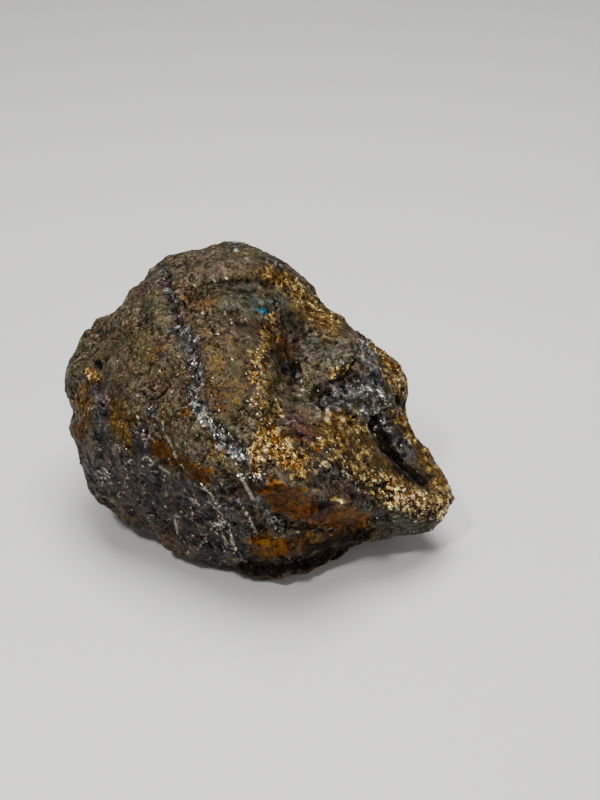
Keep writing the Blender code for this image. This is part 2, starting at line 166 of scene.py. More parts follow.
DEPOSITS = (
    # Brassy gold: the ridge down the middle, the patch at its foot, the right edge, the nose and the cap.
    Deposit(Mineral.GOLD, (
        Patch(((3.0, 22.0), (2.5, 17.0), (1.0, 12.5)), 1.8, 0.58),
        Patch(((0.5, 12.0), (1.0, 7.0), (2.0, 4.0), (2.5, 0.0), (2.0, -6.0)), 2.9, 0.42),
        Patch(((-0.5, 8.5), (-0.5, 7.0)), 0.9, 1.0),
        Patch(((2.0, -6.0), (-1.0, -10.0), (-1.5, -15.0)), 1.6, 0.62),
        Patch(((3.0, -7.5), (6.0, -10.0), (9.0, -12.5)), 3.2, 1.0),
        Patch(((10.0, -9.5), (12.0, -11.0), (14.0, -13.0)), 3.0, 0.38),
        Patch(((29.5, 15.0), (32.5, 12.0), (33.5, 9.0)), 2.8, 0.88),
        Patch(((32.5, 7.0), (34.5, 4.0), (34.0, 0.0)), 1.9, 0.5),
        Patch(((33.0, 0.0), (36.0, -5.0), (41.5, -13.0), (42.5, -19.0)), 1.5, 0.48),
        Patch(((31.0, -19.0), (37.0, -21.5), (43.5, -22.0)), 3.6, 0.6),
        Patch(((17.0, -2.5), (22.0, -2.5), (24.0, -4.0)), 1.8, 0.55),
        Patch(((18.0, -8.0), (24.0, -13.0), (30.0, -17.0)), 4.2, 0.37),
        Patch(((18.0, -21.0), (23.5, -23.0)), 0.6, 0.55),
        Patch(((2.0, 33.0), (7.0, 30.5)), 1.9, 0.55),
        Patch(((9.5, 28.5), (14.0, 23.5), (18.0, 21.0)), 2.0, 0.6),
        Patch(((17.5, 8.5), (21.0, 9.5)), 1.2, 0.5),
        Patch(((-40.5, 8.5), (-39.5, 7.5)), 1.3, 0.8),
    )),
    # Ochre: the middle of the broad face, the far left, the right of the cap and the lower right.
    Deposit(Mineral.OCHRE, (
        Patch(((-12.0, 15.0), (-7.0, 8.0), (-3.0, 2.0)), 5.0, 0.38),
        Patch(((-35.0, -1.0), (-31.0, -9.0)), 3.2, 0.85),
        Patch(((-42.0, 4.0), (-41.5, -4.0)), 2.6, 0.7),
        Patch(((-12.0, -3.0), (-8.0, -9.0)), 3.4, 0.55),
        Patch(((4.0, 31.0), (11.0, 25.0), (17.0, 19.0)), 3.6, 0.6),
        Patch(((18.0, -6.0), (30.0, -14.0), (38.0, -20.0)), 6.0, 0.60),
        Patch(((34.0, 8.0), (37.0, -4.0), (43.0, -16.0)), 2.6, 0.7),
        Patch(((-30.0, 17.0), (-26.0, 12.0)), 5.0, 0.35),
    )),
    # Blue-grey steel: the long vein, the pocket and the edge above it, and single spots.
    Deposit(Mineral.STEEL, (
        Patch(((-22.5, 33.0), (-21.5, 27.0), (-20.0, 22.5)), 1.1, 0.30),
        Patch(((-19.5, 20.0), (-16.5, 17.5), (-16.0, 15.5)), 1.8, 0.46),
        Patch(((-15.5, 15.5), (-15.0, 11.0), (-14.5, 6.5), (-15.0, 1.0)), 1.5, 0.46),
        Patch(((-15.0, 1.0), (-12.0, -3.0), (-7.0, -8.0), (-4.0, -11.5), (-1.0, -16.0)), 1.9, 0.7),
        Patch(((15.5, 3.0), (18.5, 4.6), (20.0, 5.6)), 1.0, 0.45),
        Patch(((16.5, 1.2), (21.0, 2.0), (26.0, 1.0)), 1.7, 0.50),
        Patch(((-37.8, -15.2), (-36.3, -16.0)), 0.9, 1.0),
        Patch(((21.5, 4.5), (26.0, 4.0), (30.0, 2.5)), 2.2, 0.62),
        Patch(((26.0, 15.0), (27.5, 11.0), (28.5, 5.5)), 1.7, 0.55),
        Patch(((24.6, 16.4), (26.0, 15.2), (27.4, 14.6)), 1.1, 1.0),
        Patch(((28.0, 1.0), (29.6, -3.0), (31.0, -5.0)), 1.6, 0.6),
        Patch(((7.0, 10.0), (9.5, 7.0)), 1.6, 0.5),
        Patch(((12.5, -11.0), (15.0, -12.5)), 1.4, 0.5),
        Patch(((17.5, -14.5), (21.0, -15.5)), 1.4, 0.5),
        Patch(((-38.5, 3.5), (-38.5, -9.5)), 1.4, 0.18),
        Patch(((0.0, -22.0), (2.5, -25.0), (4.0, -27.5)), 1.0, 0.9),
        Patch(((3.0, -27.0), (5.5, -28.0)), 1.1, 1.0),
        Patch(((-7.0, 40.0), (-5.0, 39.5)), 1.6, 0.6),
        Patch(((2.5, 36.5), (5.5, 34.5)), 1.3, 0.6),
        Patch(((-25.5, 0.5), (-24.5, -1.0)), 1.3, 0.6),
    )),
    # Grey-green: under the cap, on the lobe and below the nose.
    Deposit(Mineral.GREEN, (
        Patch(((-5.0, 27.0), (0.0, 25.0), (4.0, 25.5)), 4.0, 0.60),
        Patch(((-25.0, 34.0), (-23.5, 32.0)), 1.6, 0.5),
        Patch(((12.0, 17.0), (18.5, 13.0)), 4.2, 0.55),
        Patch(((11.0, 4.0), (14.0, 0.0)), 2.4, 0.35),
        Patch(((24.0, -23.0), (30.0, -27.0), (38.0, -29.0)), 2.8, 0.80),
    )),
    # Teal: one spot under the cap, and a faint bloom beside it.
    Deposit(Mineral.TEAL, (
        Patch(((0.2, 24.3), (1.4, 23.8)), 0.75, 1.0),
        Patch(((-2.5, 26.5), (4.0, 26.0)), 1.4, 0.14),
    )),
    # Dark slate: the undercut face, bands on the left, along the vein, the pocket and the trough.
    Deposit(Mineral.SLATE, (
        Patch(((-37.0, -13.0), (-26.0, -20.0), (-14.0, -26.0), (-7.0, -33.0)), 6.4, 1.0),
        Patch(((-29.0, -6.5), (-26.5, -13.0)), 3.0, 0.85),
        Patch(((-10.0, -20.0), (-3.5, -27.0)), 4.0, 0.7),
        Patch(((23.5, -20.5), (29.0, -25.0)), 2.0, 0.62),
        Patch(((27.0, 0.0), (31.0, -6.0), (36.0, -11.0)), 2.5, 0.85),
        Patch(((-38.5, 4.5), (-38.0, -11.0)), 2.3, 0.78),
        Patch(((-22.5, 33.0), (-20.5, 23.0)), 1.8, 0.70),
        Patch(((-18.5, 19.5), (-15.6, 14.0), (-15.0, 2.0)), 2.1, 0.72),
        Patch(((-15.0, 2.0), (-11.0, -4.0), (-6.0, -9.0), (-2.0, -15.0)), 2.4, 0.72),
        Patch(((15.5, 2.0), (22.0, 5.5), (28.0, 7.0)), 3.2, 0.95),
        Patch(((25.5, 14.0), (27.0, 9.0)), 1.8, 0.70),
        Patch(((12.0, -12.5), (15.0, -14.5)), 1.8, 0.60),
    )),
    # Near-black painted shade in the hollows: the trough, the valley beside the lobe, pits, creases and the
    # stone's foot.
    Deposit(Mineral.DARK, (
        Patch(((29.5, -6.0), (32.0, -11.0), (36.5, -15.4), (39.5, -17.4)), 1.5, 0.92),
        Patch(((6.5, 23.5), (10.5, 21.5)), 1.5, 0.5),
        Patch(((8.6, 21.0), (9.0, 15.5), (9.2, 10.5)), 1.9, 0.50),
        Patch(((5.2, 15.5), (6.0, 11.0), (7.5, 6.0)), 1.2, 0.50),
        Patch(((-38.5, 11.2), (-38.0, 10.8)), 1.0, 0.75),
        Patch(((34.0, 2.5), (34.8, 1.0)), 1.3, 0.7),
        Patch(((15.4, -0.2), (14.4, 1.4), (14.8, 3.4), (17.0, 5.2)), 0.60, 0.95),
        Patch(((16.8, 6.4), (19.5, 7.4), (22.6, 9.4)), 0.60, 0.85),
        Patch(((22.0, 2.4), (24.5, 1.2), (27.0, 3.4)), 0.70, 0.55),
        Patch(((-4.0, -38.5), (8.0, -37.5), (24.0, -34.0)), 2.2, 0.85),
        Patch(((12.0, -33.0), (18.0, -31.5), (25.0, -31.0)), 1.9, 0.75),
        Patch(((-1.5, -18.2), (2.0, -18.8), (6.0, -18.8)), 1.3, 0.60),
        Patch(((-12.0, 30.2), (-6.0, 31.0), (0.0, 30.8)), 0.6, 0.50),
        Patch(((-14.0, 26.4), (-7.0, 28.6), (0.0, 28.4), (5.0, 26.6)), 1.1, 0.40),
        Patch(((-24.3, 2.4), (-23.0, 3.6), (-21.9, 5.2)), 0.24, 0.8),
        Patch(((-4.7, -0.4), (-2.6, 1.6), (0.4, 2.8)), 0.22, 0.65),
        Patch(((4.5, -27.6), (10.0, -28.6), (18.0, -28.9)), 0.5, 0.55),
        Patch(((14.0, -21.5), (17.5, -23.0)), 1.5, 0.60),
    )),
    # Rust: the streak on the lower left, the valley, under the cap and small spots.
    Deposit(Mineral.RUST, (
        Patch(((-25.0, -9.0), (-20.5, -11.5), (-15.0, -14.5), (-11.0, -17.0)), 2.3, 0.85),
        Patch(((-17.0, -0.5), (-16.0, -1.0)), 1.5, 0.60),
        Patch(((5.6, 16.5), (7.2, 13.0), (8.0, 10.5)), 1.9, 0.60),
        Patch(((-17.0, 28.5), (-13.5, 25.5), (-8.0, 27.5)), 1.8, 0.48),
        Patch(((-43.0, -5.0), (-42.0, -11.0), (-40.0, -15.0)), 1.9, 0.65),
        Patch(((8.0, -4.0), (12.0, -6.0), (13.5, -9.0)), 2.4, 0.66),
        Patch(((2.5, -4.0), (6.0, -6.5)), 1.8, 0.6),
        Patch(((-11.5, 6.0), (-8.0, 0.5)), 2.2, 0.5),
        Patch(((33.5, 7.0), (35.5, 3.0)), 1.6, 0.5),
        Patch(((-22.0, -2.0), (-24.0, 1.0)), 1.6, 0.4),
        Patch(((0.0, -29.0), (4.0, -34.0)), 3.0, 0.55),
    )),
    # Smooth brown earth: the face below the ledge, and the underside.
    Deposit(Mineral.EARTH, (
        Patch(((3.5, -20.5), (10.0, -23.0), (18.0, -25.5), (24.0, -27.0)), 3.2, 1.0),
        Patch(((0.0, -32.0), (10.0, -32.0), (20.0, -31.0)), 2.4, 0.7),
    )),
    # Pale lines on the undercut face, and faint pale scuffs on the lobe and the cap.
    Deposit(Mineral.PALE, (
        Patch(((4.0, -30.5), (10.5, -29.4), (18.0, -28.4)), 0.24, 0.55),
        Patch(((-22.8, -2.2), (-22.6, -5.0), (-20.9, -8.0), (-19.7, -11.0)), 0.26, 0.65),
        Patch(((-19.9, -11.5), (-18.6, -13.0), (-18.0, -15.0)), 0.24, 0.6),
        Patch(((-4.8, -15.6), (-3.0, -18.0), (-1.4, -21.2)), 0.36, 0.9),
        Patch(((-5.0, -21.4), (-3.6, -23.0), (-2.5, -25.5), (-0.5, -29.2)), 0.32, 0.85),
        Patch(((-16.3, -21.4), (-15.0, -21.7), (-14.2, -22.8)), 0.34, 0.95),
        Patch(((-8.0, -26.8), (-6.8, -28.0), (-6.5, -29.5), (-5.8, -33.0)), 0.34, 0.95),
        Patch(((-9.0, -26.6), (-8.9, -28.6), (-7.6, -32.2)), 0.28, 0.8),
        Patch(((-8.5, -26.8), (-10.6, -27.8), (-12.2, -29.9), (-14.4, -33.4)), 0.30, 0.85),
        Patch(((-19.6, -25.0), (-19.9, -27.0), (-19.2, -29.6)), 0.28, 0.75),
        Patch(((-15.0, -18.0), (-11.5, -19.5), (-9.5, -23.0)), 0.26, 0.75),
        Patch(((-12.0, -22.0), (-9.4, -24.0), (-8.0, -26.5)), 0.26, 0.75),
        Patch(((-24.0, -13.5), (-21.0, -15.0)), 0.26, 0.75),
        Patch(((6.5, -3.5), (8.5, -2.3)), 0.4, 0.6),
        Patch(((16.5, 12.0), (21.0, 14.0), (24.0, 16.0)), 1.5, 0.22),
        Patch(((11.0, 4.5), (13.5, 0.0), (19.0, -1.5)), 1.8, 0.22),
        Patch(((-14.0, 36.5), (-4.0, 36.0)), 3.2, 0.14),
    )),
    # A violet bloom around the foot of the ridge.
    Deposit(Mineral.VIOLET, (
        Patch(((4.0, -3.5), (8.5, -2.5), (12.5, -5.5)), 2.2, 0.55),
        Patch(((3.0, 0.5), (5.5, -8.0), (10.0, -11.0)), 3.0, 0.35),
        Patch(((-1.5, 20.5), (0.0, 20.0)), 1.3, 0.4),
        Patch(((7.5, 9.0), (9.5, 3.0)), 1.8, 0.4),
        Patch(((-2.0, -3.0), (-5.0, -5.0)), 1.8, 0.25),
    )),
    # Where many grains flash, with painted highlights on single grains: the nose, the edge above the pocket,
    # the vein and the ridge.
    Deposit(Mineral.GLINT, (
        Patch(((32.0, -19.0), (38.0, -22.5), (43.0, -23.5)), 3.2, 0.85),
        Patch(((24.5, 16.5), (27.5, 14.0)), 1.5, 1.0),
        Patch(((24.0, 4.5), (30.0, 2.5)), 2.0, 0.7),
        Patch(((26.5, 0.0), (29.0, -4.0)), 1.8, 0.5),
        Patch(((-15.0, 12.0), (-15.0, 1.0)), 1.8, 0.35),
        Patch(((-13.0, -2.0), (-7.0, -8.0), (-3.0, -13.0), (-1.0, -16.0)), 2.2, 0.75),
        Patch(((1.0, 12.0), (2.0, 0.0), (6.0, -9.0)), 2.6, 0.5),
        Patch(((-37.5, -15.4), (-36.5, -15.8)), 1.2, 1.0),
        Patch(((18.0, -10.0), (28.0, -16.5)), 3.6, 0.4),
        Patch(((3.5, -27.3), (5.3, -28.0)), 0.9, 1.0),
        Patch(((-8.0, -27.0), (-6.0, -33.0)), 2.4, 0.3),
    )),
    # Calmer stretches: the broad face and the cap.
    Deposit(Mineral.EVEN, (
        Patch(((-32.0, 12.0), (-22.0, 10.0), (-8.0, 8.0)), 11.0, 0.8),
        Patch(((-16.0, 34.0), (-4.0, 34.0)), 5.0, 0.5),
        Patch(((-36.0, -4.0), (-20.0, -8.0)), 6.0, 0.5),
    )),
)

CRACKS = (
    Line(((-26.0, 2.5), (-24.0, 3.0), (-23.0, 3.8), (-21.5, 5.5)), 0.5, 0.5),
    Line(((-5.0, -0.6), (-2.6, 1.6), (0.4, 2.8)), 0.45, 0.4),
    Line(((-19.5, 25.0), (-14.0, 28.5), (-8.0, 30.5), (-2.0, 31.0), (5.0, 30.0)), 1.5, 0.50),
    Line(((-15.0, 26.0), (-8.0, 28.2), (-1.0, 28.8), (6.0, 27.0)), 0.8, 0.45),
    Line(((-11.0, 23.6), (-4.0, 25.6), (3.0, 24.2)), 0.7, 0.35),
    Line(((-5.0, 21.0), (-1.0, 20.0), (3.5, 19.5)), 0.9, 0.5),
    Line(((5.8, 22.0), (7.6, 18.5), (7.0, 14.5), (8.4, 10.5), (8.0, 6.5)), 0.8, 0.75),
    Line(((7.4, 16.0), (10.6, 17.4), (13.4, 19.8)), 0.6, 0.50),
    Line(((8.2, 11.0), (11.4, 11.8), (14.5, 10.2)), 0.6, 0.50),
    Line(((7.8, 8.0), (11.0, 6.6), (13.0, 7.2)), 0.6, 0.40),
    Line(((-39.0, 11.5), (-38.0, 10.5)), 1.0, 0.9),
    Line(((4.5, -27.6), (10.0, -28.6), (18.0, -28.9)), 0.8, 0.4),
)

RIDGES = (
    Line(((9.8, 20.0), (10.4, 16.0), (9.8, 13.4), (10.8, 9.6)), 0.8, 0.45),
    Line(((-4.8, -15.6), (-3.0, -18.0), (-1.4, -21.2)), 0.9, 0.5),
    Line(((-5.0, -21.4), (-2.5, -25.5), (-0.5, -29.2)), 0.8, 0.4),
    Line(((-15.0, -18.0), (-11.5, -19.5), (-9.5, -23.0)), 0.8, 0.35),
    Line(((-8.0, -26.8), (-6.5, -29.5), (-5.8, -33.0)), 0.8, 0.4),
    Line(((-19.6, -25.0), (-19.2, -29.6)), 0.8, 0.35),
    Line(((0.0, -18.5), (6.5, -17.5), (14.0, -19.5), (21.0, -22.5)), 1.0, 0.5),
    Line(((16.0, 4.0), (21.0, 7.5), (24.0, 9.8)), 0.9, 0.5),
)

WILD = (
    Wild(Mineral.GOLD, 11.0, 0.22, strength=0.55),
    Wild(Mineral.OCHRE, 15.0, 0.40, strength=0.75),
    Wild(Mineral.STEEL, 13.0, 0.16, veined=True, strength=0.7),
    Wild(Mineral.SLATE, 17.0, 0.30, strength=0.85),
    Wild(Mineral.RUST, 12.0, 0.18, strength=0.75),
    Wild(Mineral.EARTH, 16.0, 0.08, strength=0.9),
    Wild(Mineral.GREEN, 14.0, 0.12, strength=0.55),
    Wild(Mineral.TEAL, 5.0, 0.006, strength=0.5),
    Wild(Mineral.VIOLET, 9.0, 0.10, strength=0.35),
    Wild(Mineral.PALE, 8.0, 0.03, veined=True, strength=0.6),
    # Thin dark veins on the unseen sides, in the same near black as the painted shade.
    Wild(Mineral.DARK, 10.0, 0.04, veined=True, strength=0.5),
    Wild(Mineral.GLINT, 10.0, 0.22, strength=0.4),
    Wild(Mineral.EVEN, 20.0, 0.35, strength=0.6),
)

RELIEFS = (
    Relief("rolling", "CLOUDS", 5.0, 0.9, "body"),
    Relief("chipped", "VORONOI", 3.0, 0.6, "broken"),
    Relief("hackly", "CLOUDS", 2.2, 0.55, "body"),
    Relief("coarse_grain", "VORONOI", 1.5, 0.8, "granular"),
    Relief("fine_grain", "CLOUDS", 1.0, 0.22, "body"),
)

BASE = Finish(
    None, dark=(0.009, 0.0065, 0.003), light=(0.166, 0.134, 0.083), tint=(0.162, 0.117, 0.067),
    metallic=0.35, roughness=0.46,
)

FINISHES = (
    Finish(
        Mineral.OCHRE, dark=(0.024, 0.010, 0.001), light=(0.186, 0.134, 0.036), tint=(0.180, 0.098, 0.022),
        metallic=0.45, roughness=0.42, speckle=0.25,
    ),
    Finish(
        Mineral.RUST, dark=(0.007, 0.002, 0.0003), light=(0.165, 0.058, 0.006), tint=(0.145, 0.072, 0.011),
        metallic=0.40, roughness=0.50, speckle=0.20,
    ),
    Finish(
        Mineral.GREEN, dark=(0.007, 0.008, 0.006), light=(0.140, 0.140, 0.095), tint=(0.104, 0.114, 0.086),
        metallic=0.30, roughness=0.50, speckle=0.30,
    ),
    Finish(
        Mineral.SLATE, dark=(0.003, 0.0025, 0.0025), light=(0.130, 0.106, 0.090), tint=(0.080, 0.074, 0.074),
        metallic=0.30, roughness=0.40, speckle=0.30,
    ),
    Finish(
        Mineral.EARTH, dark=(0.006, 0.0015, 0.0), light=(0.186, 0.076, 0.003), tint=(0.148, 0.038, 0.001),
        metallic=0.30, roughness=0.36, speckle=0.10,
    ),
    Finish(
        Mineral.VIOLET, dark=(0.010, 0.003, 0.003), light=(0.220, 0.105, 0.090), tint=(0.140, 0.085, 0.092),
        metallic=0.55, roughness=0.38, speckle=0.45,
    ),
    Finish(
        Mineral.STEEL, dark=(0.014, 0.014, 0.013), light=(0.440, 0.425, 0.390), tint=(0.140, 0.148, 0.154),
        metallic=0.65, roughness=0.32, speckle=0.55,
    ),
    Finish(
        Mineral.GOLD, dark=(0.060, 0.021, 0.002), light=(1.000, 0.890, 0.430), tint=(0.730, 0.490, 0.130),
        metallic=0.85, roughness=0.26, speckle=0.45, middle=(0.262, 0.162, 0.044),
    ),
    Finish(
        Mineral.TEAL, dark=(0.006, 0.035, 0.050), light=(0.050, 0.280, 0.350), tint=(0.040, 0.200, 0.260),
        metallic=0.40, roughness=0.40, speckle=0.60,
    ),
    # Painted shade: near black, laid in the hollows, the creases and at the stone's foot.
    Finish(
        Mineral.DARK, dark=(0.001, 0.0006, 0.0004), light=(0.014, 0.007, 0.004), tint=(0.020, 0.008, 0.003),
        metallic=0.10, roughness=0.60, speckle=0.15,
    ),
    Finish(
        Mineral.PALE, dark=(0.090, 0.075, 0.060), light=(0.560, 0.500, 0.400), tint=(0.360, 0.330, 0.280),
        metallic=0.20, roughness=0.50, speckle=0.50,
    ),
)

LAMPS = (
    Lamp("overhead", (0.02, 0.02, 0.60), 0.34, 6.45, (1.0, 0.985, 0.96)),
    Lamp("sparkle", (-0.16, -0.30, 0.52), 0.06, 2.2, (1.0, 0.99, 0.97)),
    Lamp("fill", (0.55, -0.42, 0.33), 0.40, 1.3, (1.0, 0.98, 0.95)),
)


def lone(piece: bpy.types.Object) -> None:
    """Deselect everything, then select one piece and make it the active one.

    Args:
        piece: The object that the next operators act on.
    """
    if bpy.context.object and bpy.context.object.mode != "OBJECT":
        bpy.ops.object.mode_set(mode="OBJECT")
    bpy.ops.object.select_all(action="DESELECT")
    piece.select_set(True)
    bpy.context.view_layer.objects.active = piece


def smoothstep(low: float, high: float, values: np.ndarray) -> np.ndarray:
    """Ease from 0 at low to 1 at high.

    Args:
        low: Where the result leaves 0.
        high: Where the result reaches 1.
        values: The numbers to ease.

    Returns:
        An array like values, between 0 and 1.
    """
    t = np.clip((values - low) / (high - low), 0.0, 1.0)
    return t * t * (3.0 - 2.0 * t)


def rough_noise(places: np.ndarray, size: float, seed: float, octaves: int = 2) -> np.ndarray:
    """Read smooth 3-D noise at many places.

    Args:
        places: Points in mm, one a row.
        size: The size of the noise's lumps, in mm.
        seed: Shifts the noise, so that layers differ.
        octaves: How many finer layers are added.

    Returns:
        One number a point, mostly between -1 and 1.
    """
    shifted = places / size + np.array((17.3, 5.1, 9.7)) * seed
    return np.array([noise.fractal(place, 1.0, 2.0, octaves) for place in shifted.tolist()])


@dataclass
class FrontView:
    """The way the stone's front is seen: leaning back from upright, from a little above its middle."""

    lean_deg: float = 35.0
    middle: Point = (2.0, 1.147, 32.438)
    eye_right: float = 10.1
    eye_up: float = 2.4
    eye_out: float = 330.0
    frame_height: float = 192.0

    def axes(self) -> np.ndarray:
        """Find the directions of the view.

        Returns:
            The directions right, up and out towards the viewer, one a row.
        """
        lean = math.radians(self.lean_deg)
        up = (0.0, math.sin(lean), math.cos(lean))
        out = (0.0, -math.cos(lean), math.sin(lean))
        return np.array(((1.0, 0.0, 0.0), up, out))

    def seen(self, places: np.ndarray) -> np.ndarray:
        """Work out where points appear.

        Args:
            places: Points on the stone in mm, one a row.

        Returns:
            How far right and up each point is seen, in mm, one a row.
        """
        true = (places - np.array(self.middle)) @ self.axes().T
        eye = np.array((self.eye_right, self.eye_up))
        nearer = self.eye_out / (self.eye_out - true[:, 2])
        return eye + (true[:, :2] - eye) * nearer[:, None]

    def eye(self) -> Vector:
        """Return the viewer's place in metres."""
        offset = np.array((self.eye_right, self.eye_up, self.eye_out)) @ self.axes()
        return Vector(np.array(self.middle) + offset) * MM


def gap_to_path(points: np.ndarray, path: Path) -> np.ndarray:
    """Measure how far points are from a path.

    Args:
        points: Points as seen from in front, in mm, one a row.
        path: The corners of the path.

    Returns:
        The distance of each point in mm.
    """
    corners = np.array(path)
    nearest = np.full(len(points), np.inf)
    for start, end in zip(corners[:-1], corners[1:]):
        along = end - start
        share = np.clip((points - start) @ along / max(along @ along, 1e-9), 0.0, 1.0)
        gaps = np.linalg.norm(points - start - share[:, None] * along, axis=1)
        nearest = np.minimum(nearest, gaps)
    return nearest


class Skin:
    """A mesh's points, normals and edges as arrays, for measuring and painting it."""

    def __init__(self, mesh: bpy.types.Mesh) -> None:
        """Read the mesh.

        Args:
            mesh: A closed mesh in metres.
        """
        count = len(mesh.vertices)
        self.places = np.empty(count * 3)
        mesh.vertices.foreach_get("co", self.places)
        self.places = self.places.reshape(-1, 3) / MM
        self.normals = np.empty(count * 3)
        mesh.vertices.foreach_get("normal", self.normals)
        self.normals = self.normals.reshape(-1, 3)
        edges = np.empty(len(mesh.edges) * 2, dtype=np.int64)
        mesh.edges.foreach_get("vertices", edges)
        edges = edges.reshape(-1, 2)
        self.ends = np.concatenate((edges[:, 0], edges[:, 1]))
        self.others = np.concatenate((edges[:, 1], edges[:, 0]))
        self.neighbours = np.maximum(np.bincount(self.ends, minlength=count), 1)

    def spread(self, values: np.ndarray, rounds: int) -> np.ndarray:
        """Average values with those of the neighbouring points, several times over.

        Args:
            values: One row or number a point.
            rounds: How many times they are averaged.

        Returns:
            The smoothed values.
        """
        smooth = values.reshape(len(self.places), -1).astype(float)
        for _ in range(rounds):
            columns = [
                np.bincount(self.ends, weights=smooth[self.others, column], minlength=len(smooth))
                for column in range(smooth.shape[1])
            ]
            smooth = 0.5 * smooth + 0.5 * np.stack(columns, axis=1) / self.neighbours[:, None]
        return smooth.reshape(values.shape)

    def hollowness(self, rounds: int, reach: float) -> np.ndarray:
        """Tell hollows from ridges.

        Args:
            rounds: How far around each point the surface is averaged.
            reach: The depth in mm that counts as fully hollow.

        Returns:
            About 1 in hollows, 0 on flat stretches and -1 on ridges.
        """
        lift = np.einsum("ij,ij->i", self.spread(self.places, rounds) - self.places, self.normals)
        return np.clip(lift / reach, -1.0, 1.0)


@dataclass
class Markings:
    """Where each mineral shows: from the deposits in front, and by chance on the other sides."""

    view: FrontView
    deposits: tuple[Deposit, ...] = DEPOSITS
    wild: tuple[Wild, ...] = WILD
    facing_rounds: int = 12
    edge_low: float = -0.02
    edge_high: float = 0.45
    raggedness: float = 0.60
    ragged_size: float = 2.6
    shift_size: float = 4.5
    most_shift: float = 1.4
    patch_core: float = 0.40
    patch_edge: float = 1.60
    vein_width: float = 0.55

    def facing(self, skin: Skin) -> np.ndarray:
        """Return the directions that the surface faces, with its fine relief smoothed away."""
        return skin.spread(skin.normals, self.facing_rounds)

    def frontness(self, normals: np.ndarray) -> np.ndarray:
        """Return 1 where the surface faces the viewer, easing to 0 where it faces away."""
        return smoothstep(self.edge_low, self.edge_high, normals @ self.view.axes()[2])

    def masks(self, places: np.ndarray, normals: np.ndarray) -> dict[Mineral, np.ndarray]:
        """Work out each mineral's share of the surface.

        Args:
            places: Points on the stone in mm, one a row.
            normals: The smoothed directions that the surface faces there.

        Returns:
            For each mineral, a number between 0 and 1 for each point.
        """
        seen = self.view.seen(places)
        front = self.frontness(normals)
        ragged = self.raggedness * rough_noise(places, self.ragged_size, 0.7, 3)
        shift = np.stack([rough_noise(places, self.shift_size, seed) for seed in (1.9, 3.1)], axis=1)
        found = {mineral: np.zeros(len(places)) for mineral in Mineral}
        for deposit in self.deposits:
            for patch in deposit.patches:
                drift = shift * min(0.5 * patch.spread, self.most_shift)
                gap = gap_to_path(seen + drift, patch.path) / patch.spread + ragged
                share = patch.strength * (1.0 - smoothstep(self.patch_core, self.patch_edge, gap))
                found[deposit.mineral] = np.maximum(found[deposit.mineral], share)
        for number, kind in enumerate(self.wild):
            chance = self.by_chance(places, kind, 5.3 + 1.7 * number)
            found[kind.mineral] = found[kind.mineral] * front + chance * (1.0 - front)
        return found

    def by_chance(self, places: np.ndarray, kind: Wild, seed: float) -> np.ndarray:
        """Spread one mineral over the unseen sides.

        Args:
            places: Points on the stone in mm, one a row.
            kind: The mineral, its patch size and its share.
            seed: Sets this mineral's patches apart from the others'.

        Returns:
            Its share at each point, between 0 and 1.
        """
        field = rough_noise(places, kind.size, seed, 3)
        if kind.veined:
            narrow = self.vein_width * kind.share
            return kind.strength * (1.0 - smoothstep(0.4 * narrow, 1.8 * narrow, np.abs(field)))
        level = np.quantile(field, 1.0 - kind.share)
        return kind.strength * smoothstep(level - 0.12, level + 0.18, field)

    @staticmethod
    def rich(masks: dict[Mineral, np.ndarray]) -> np.ndarray:
        """Return how rich in bright ore each point is: the most of gold, steel and glint there."""
        return np.maximum.reduce([masks[Mineral.GOLD], masks[Mineral.STEEL], masks[Mineral.GLINT]])


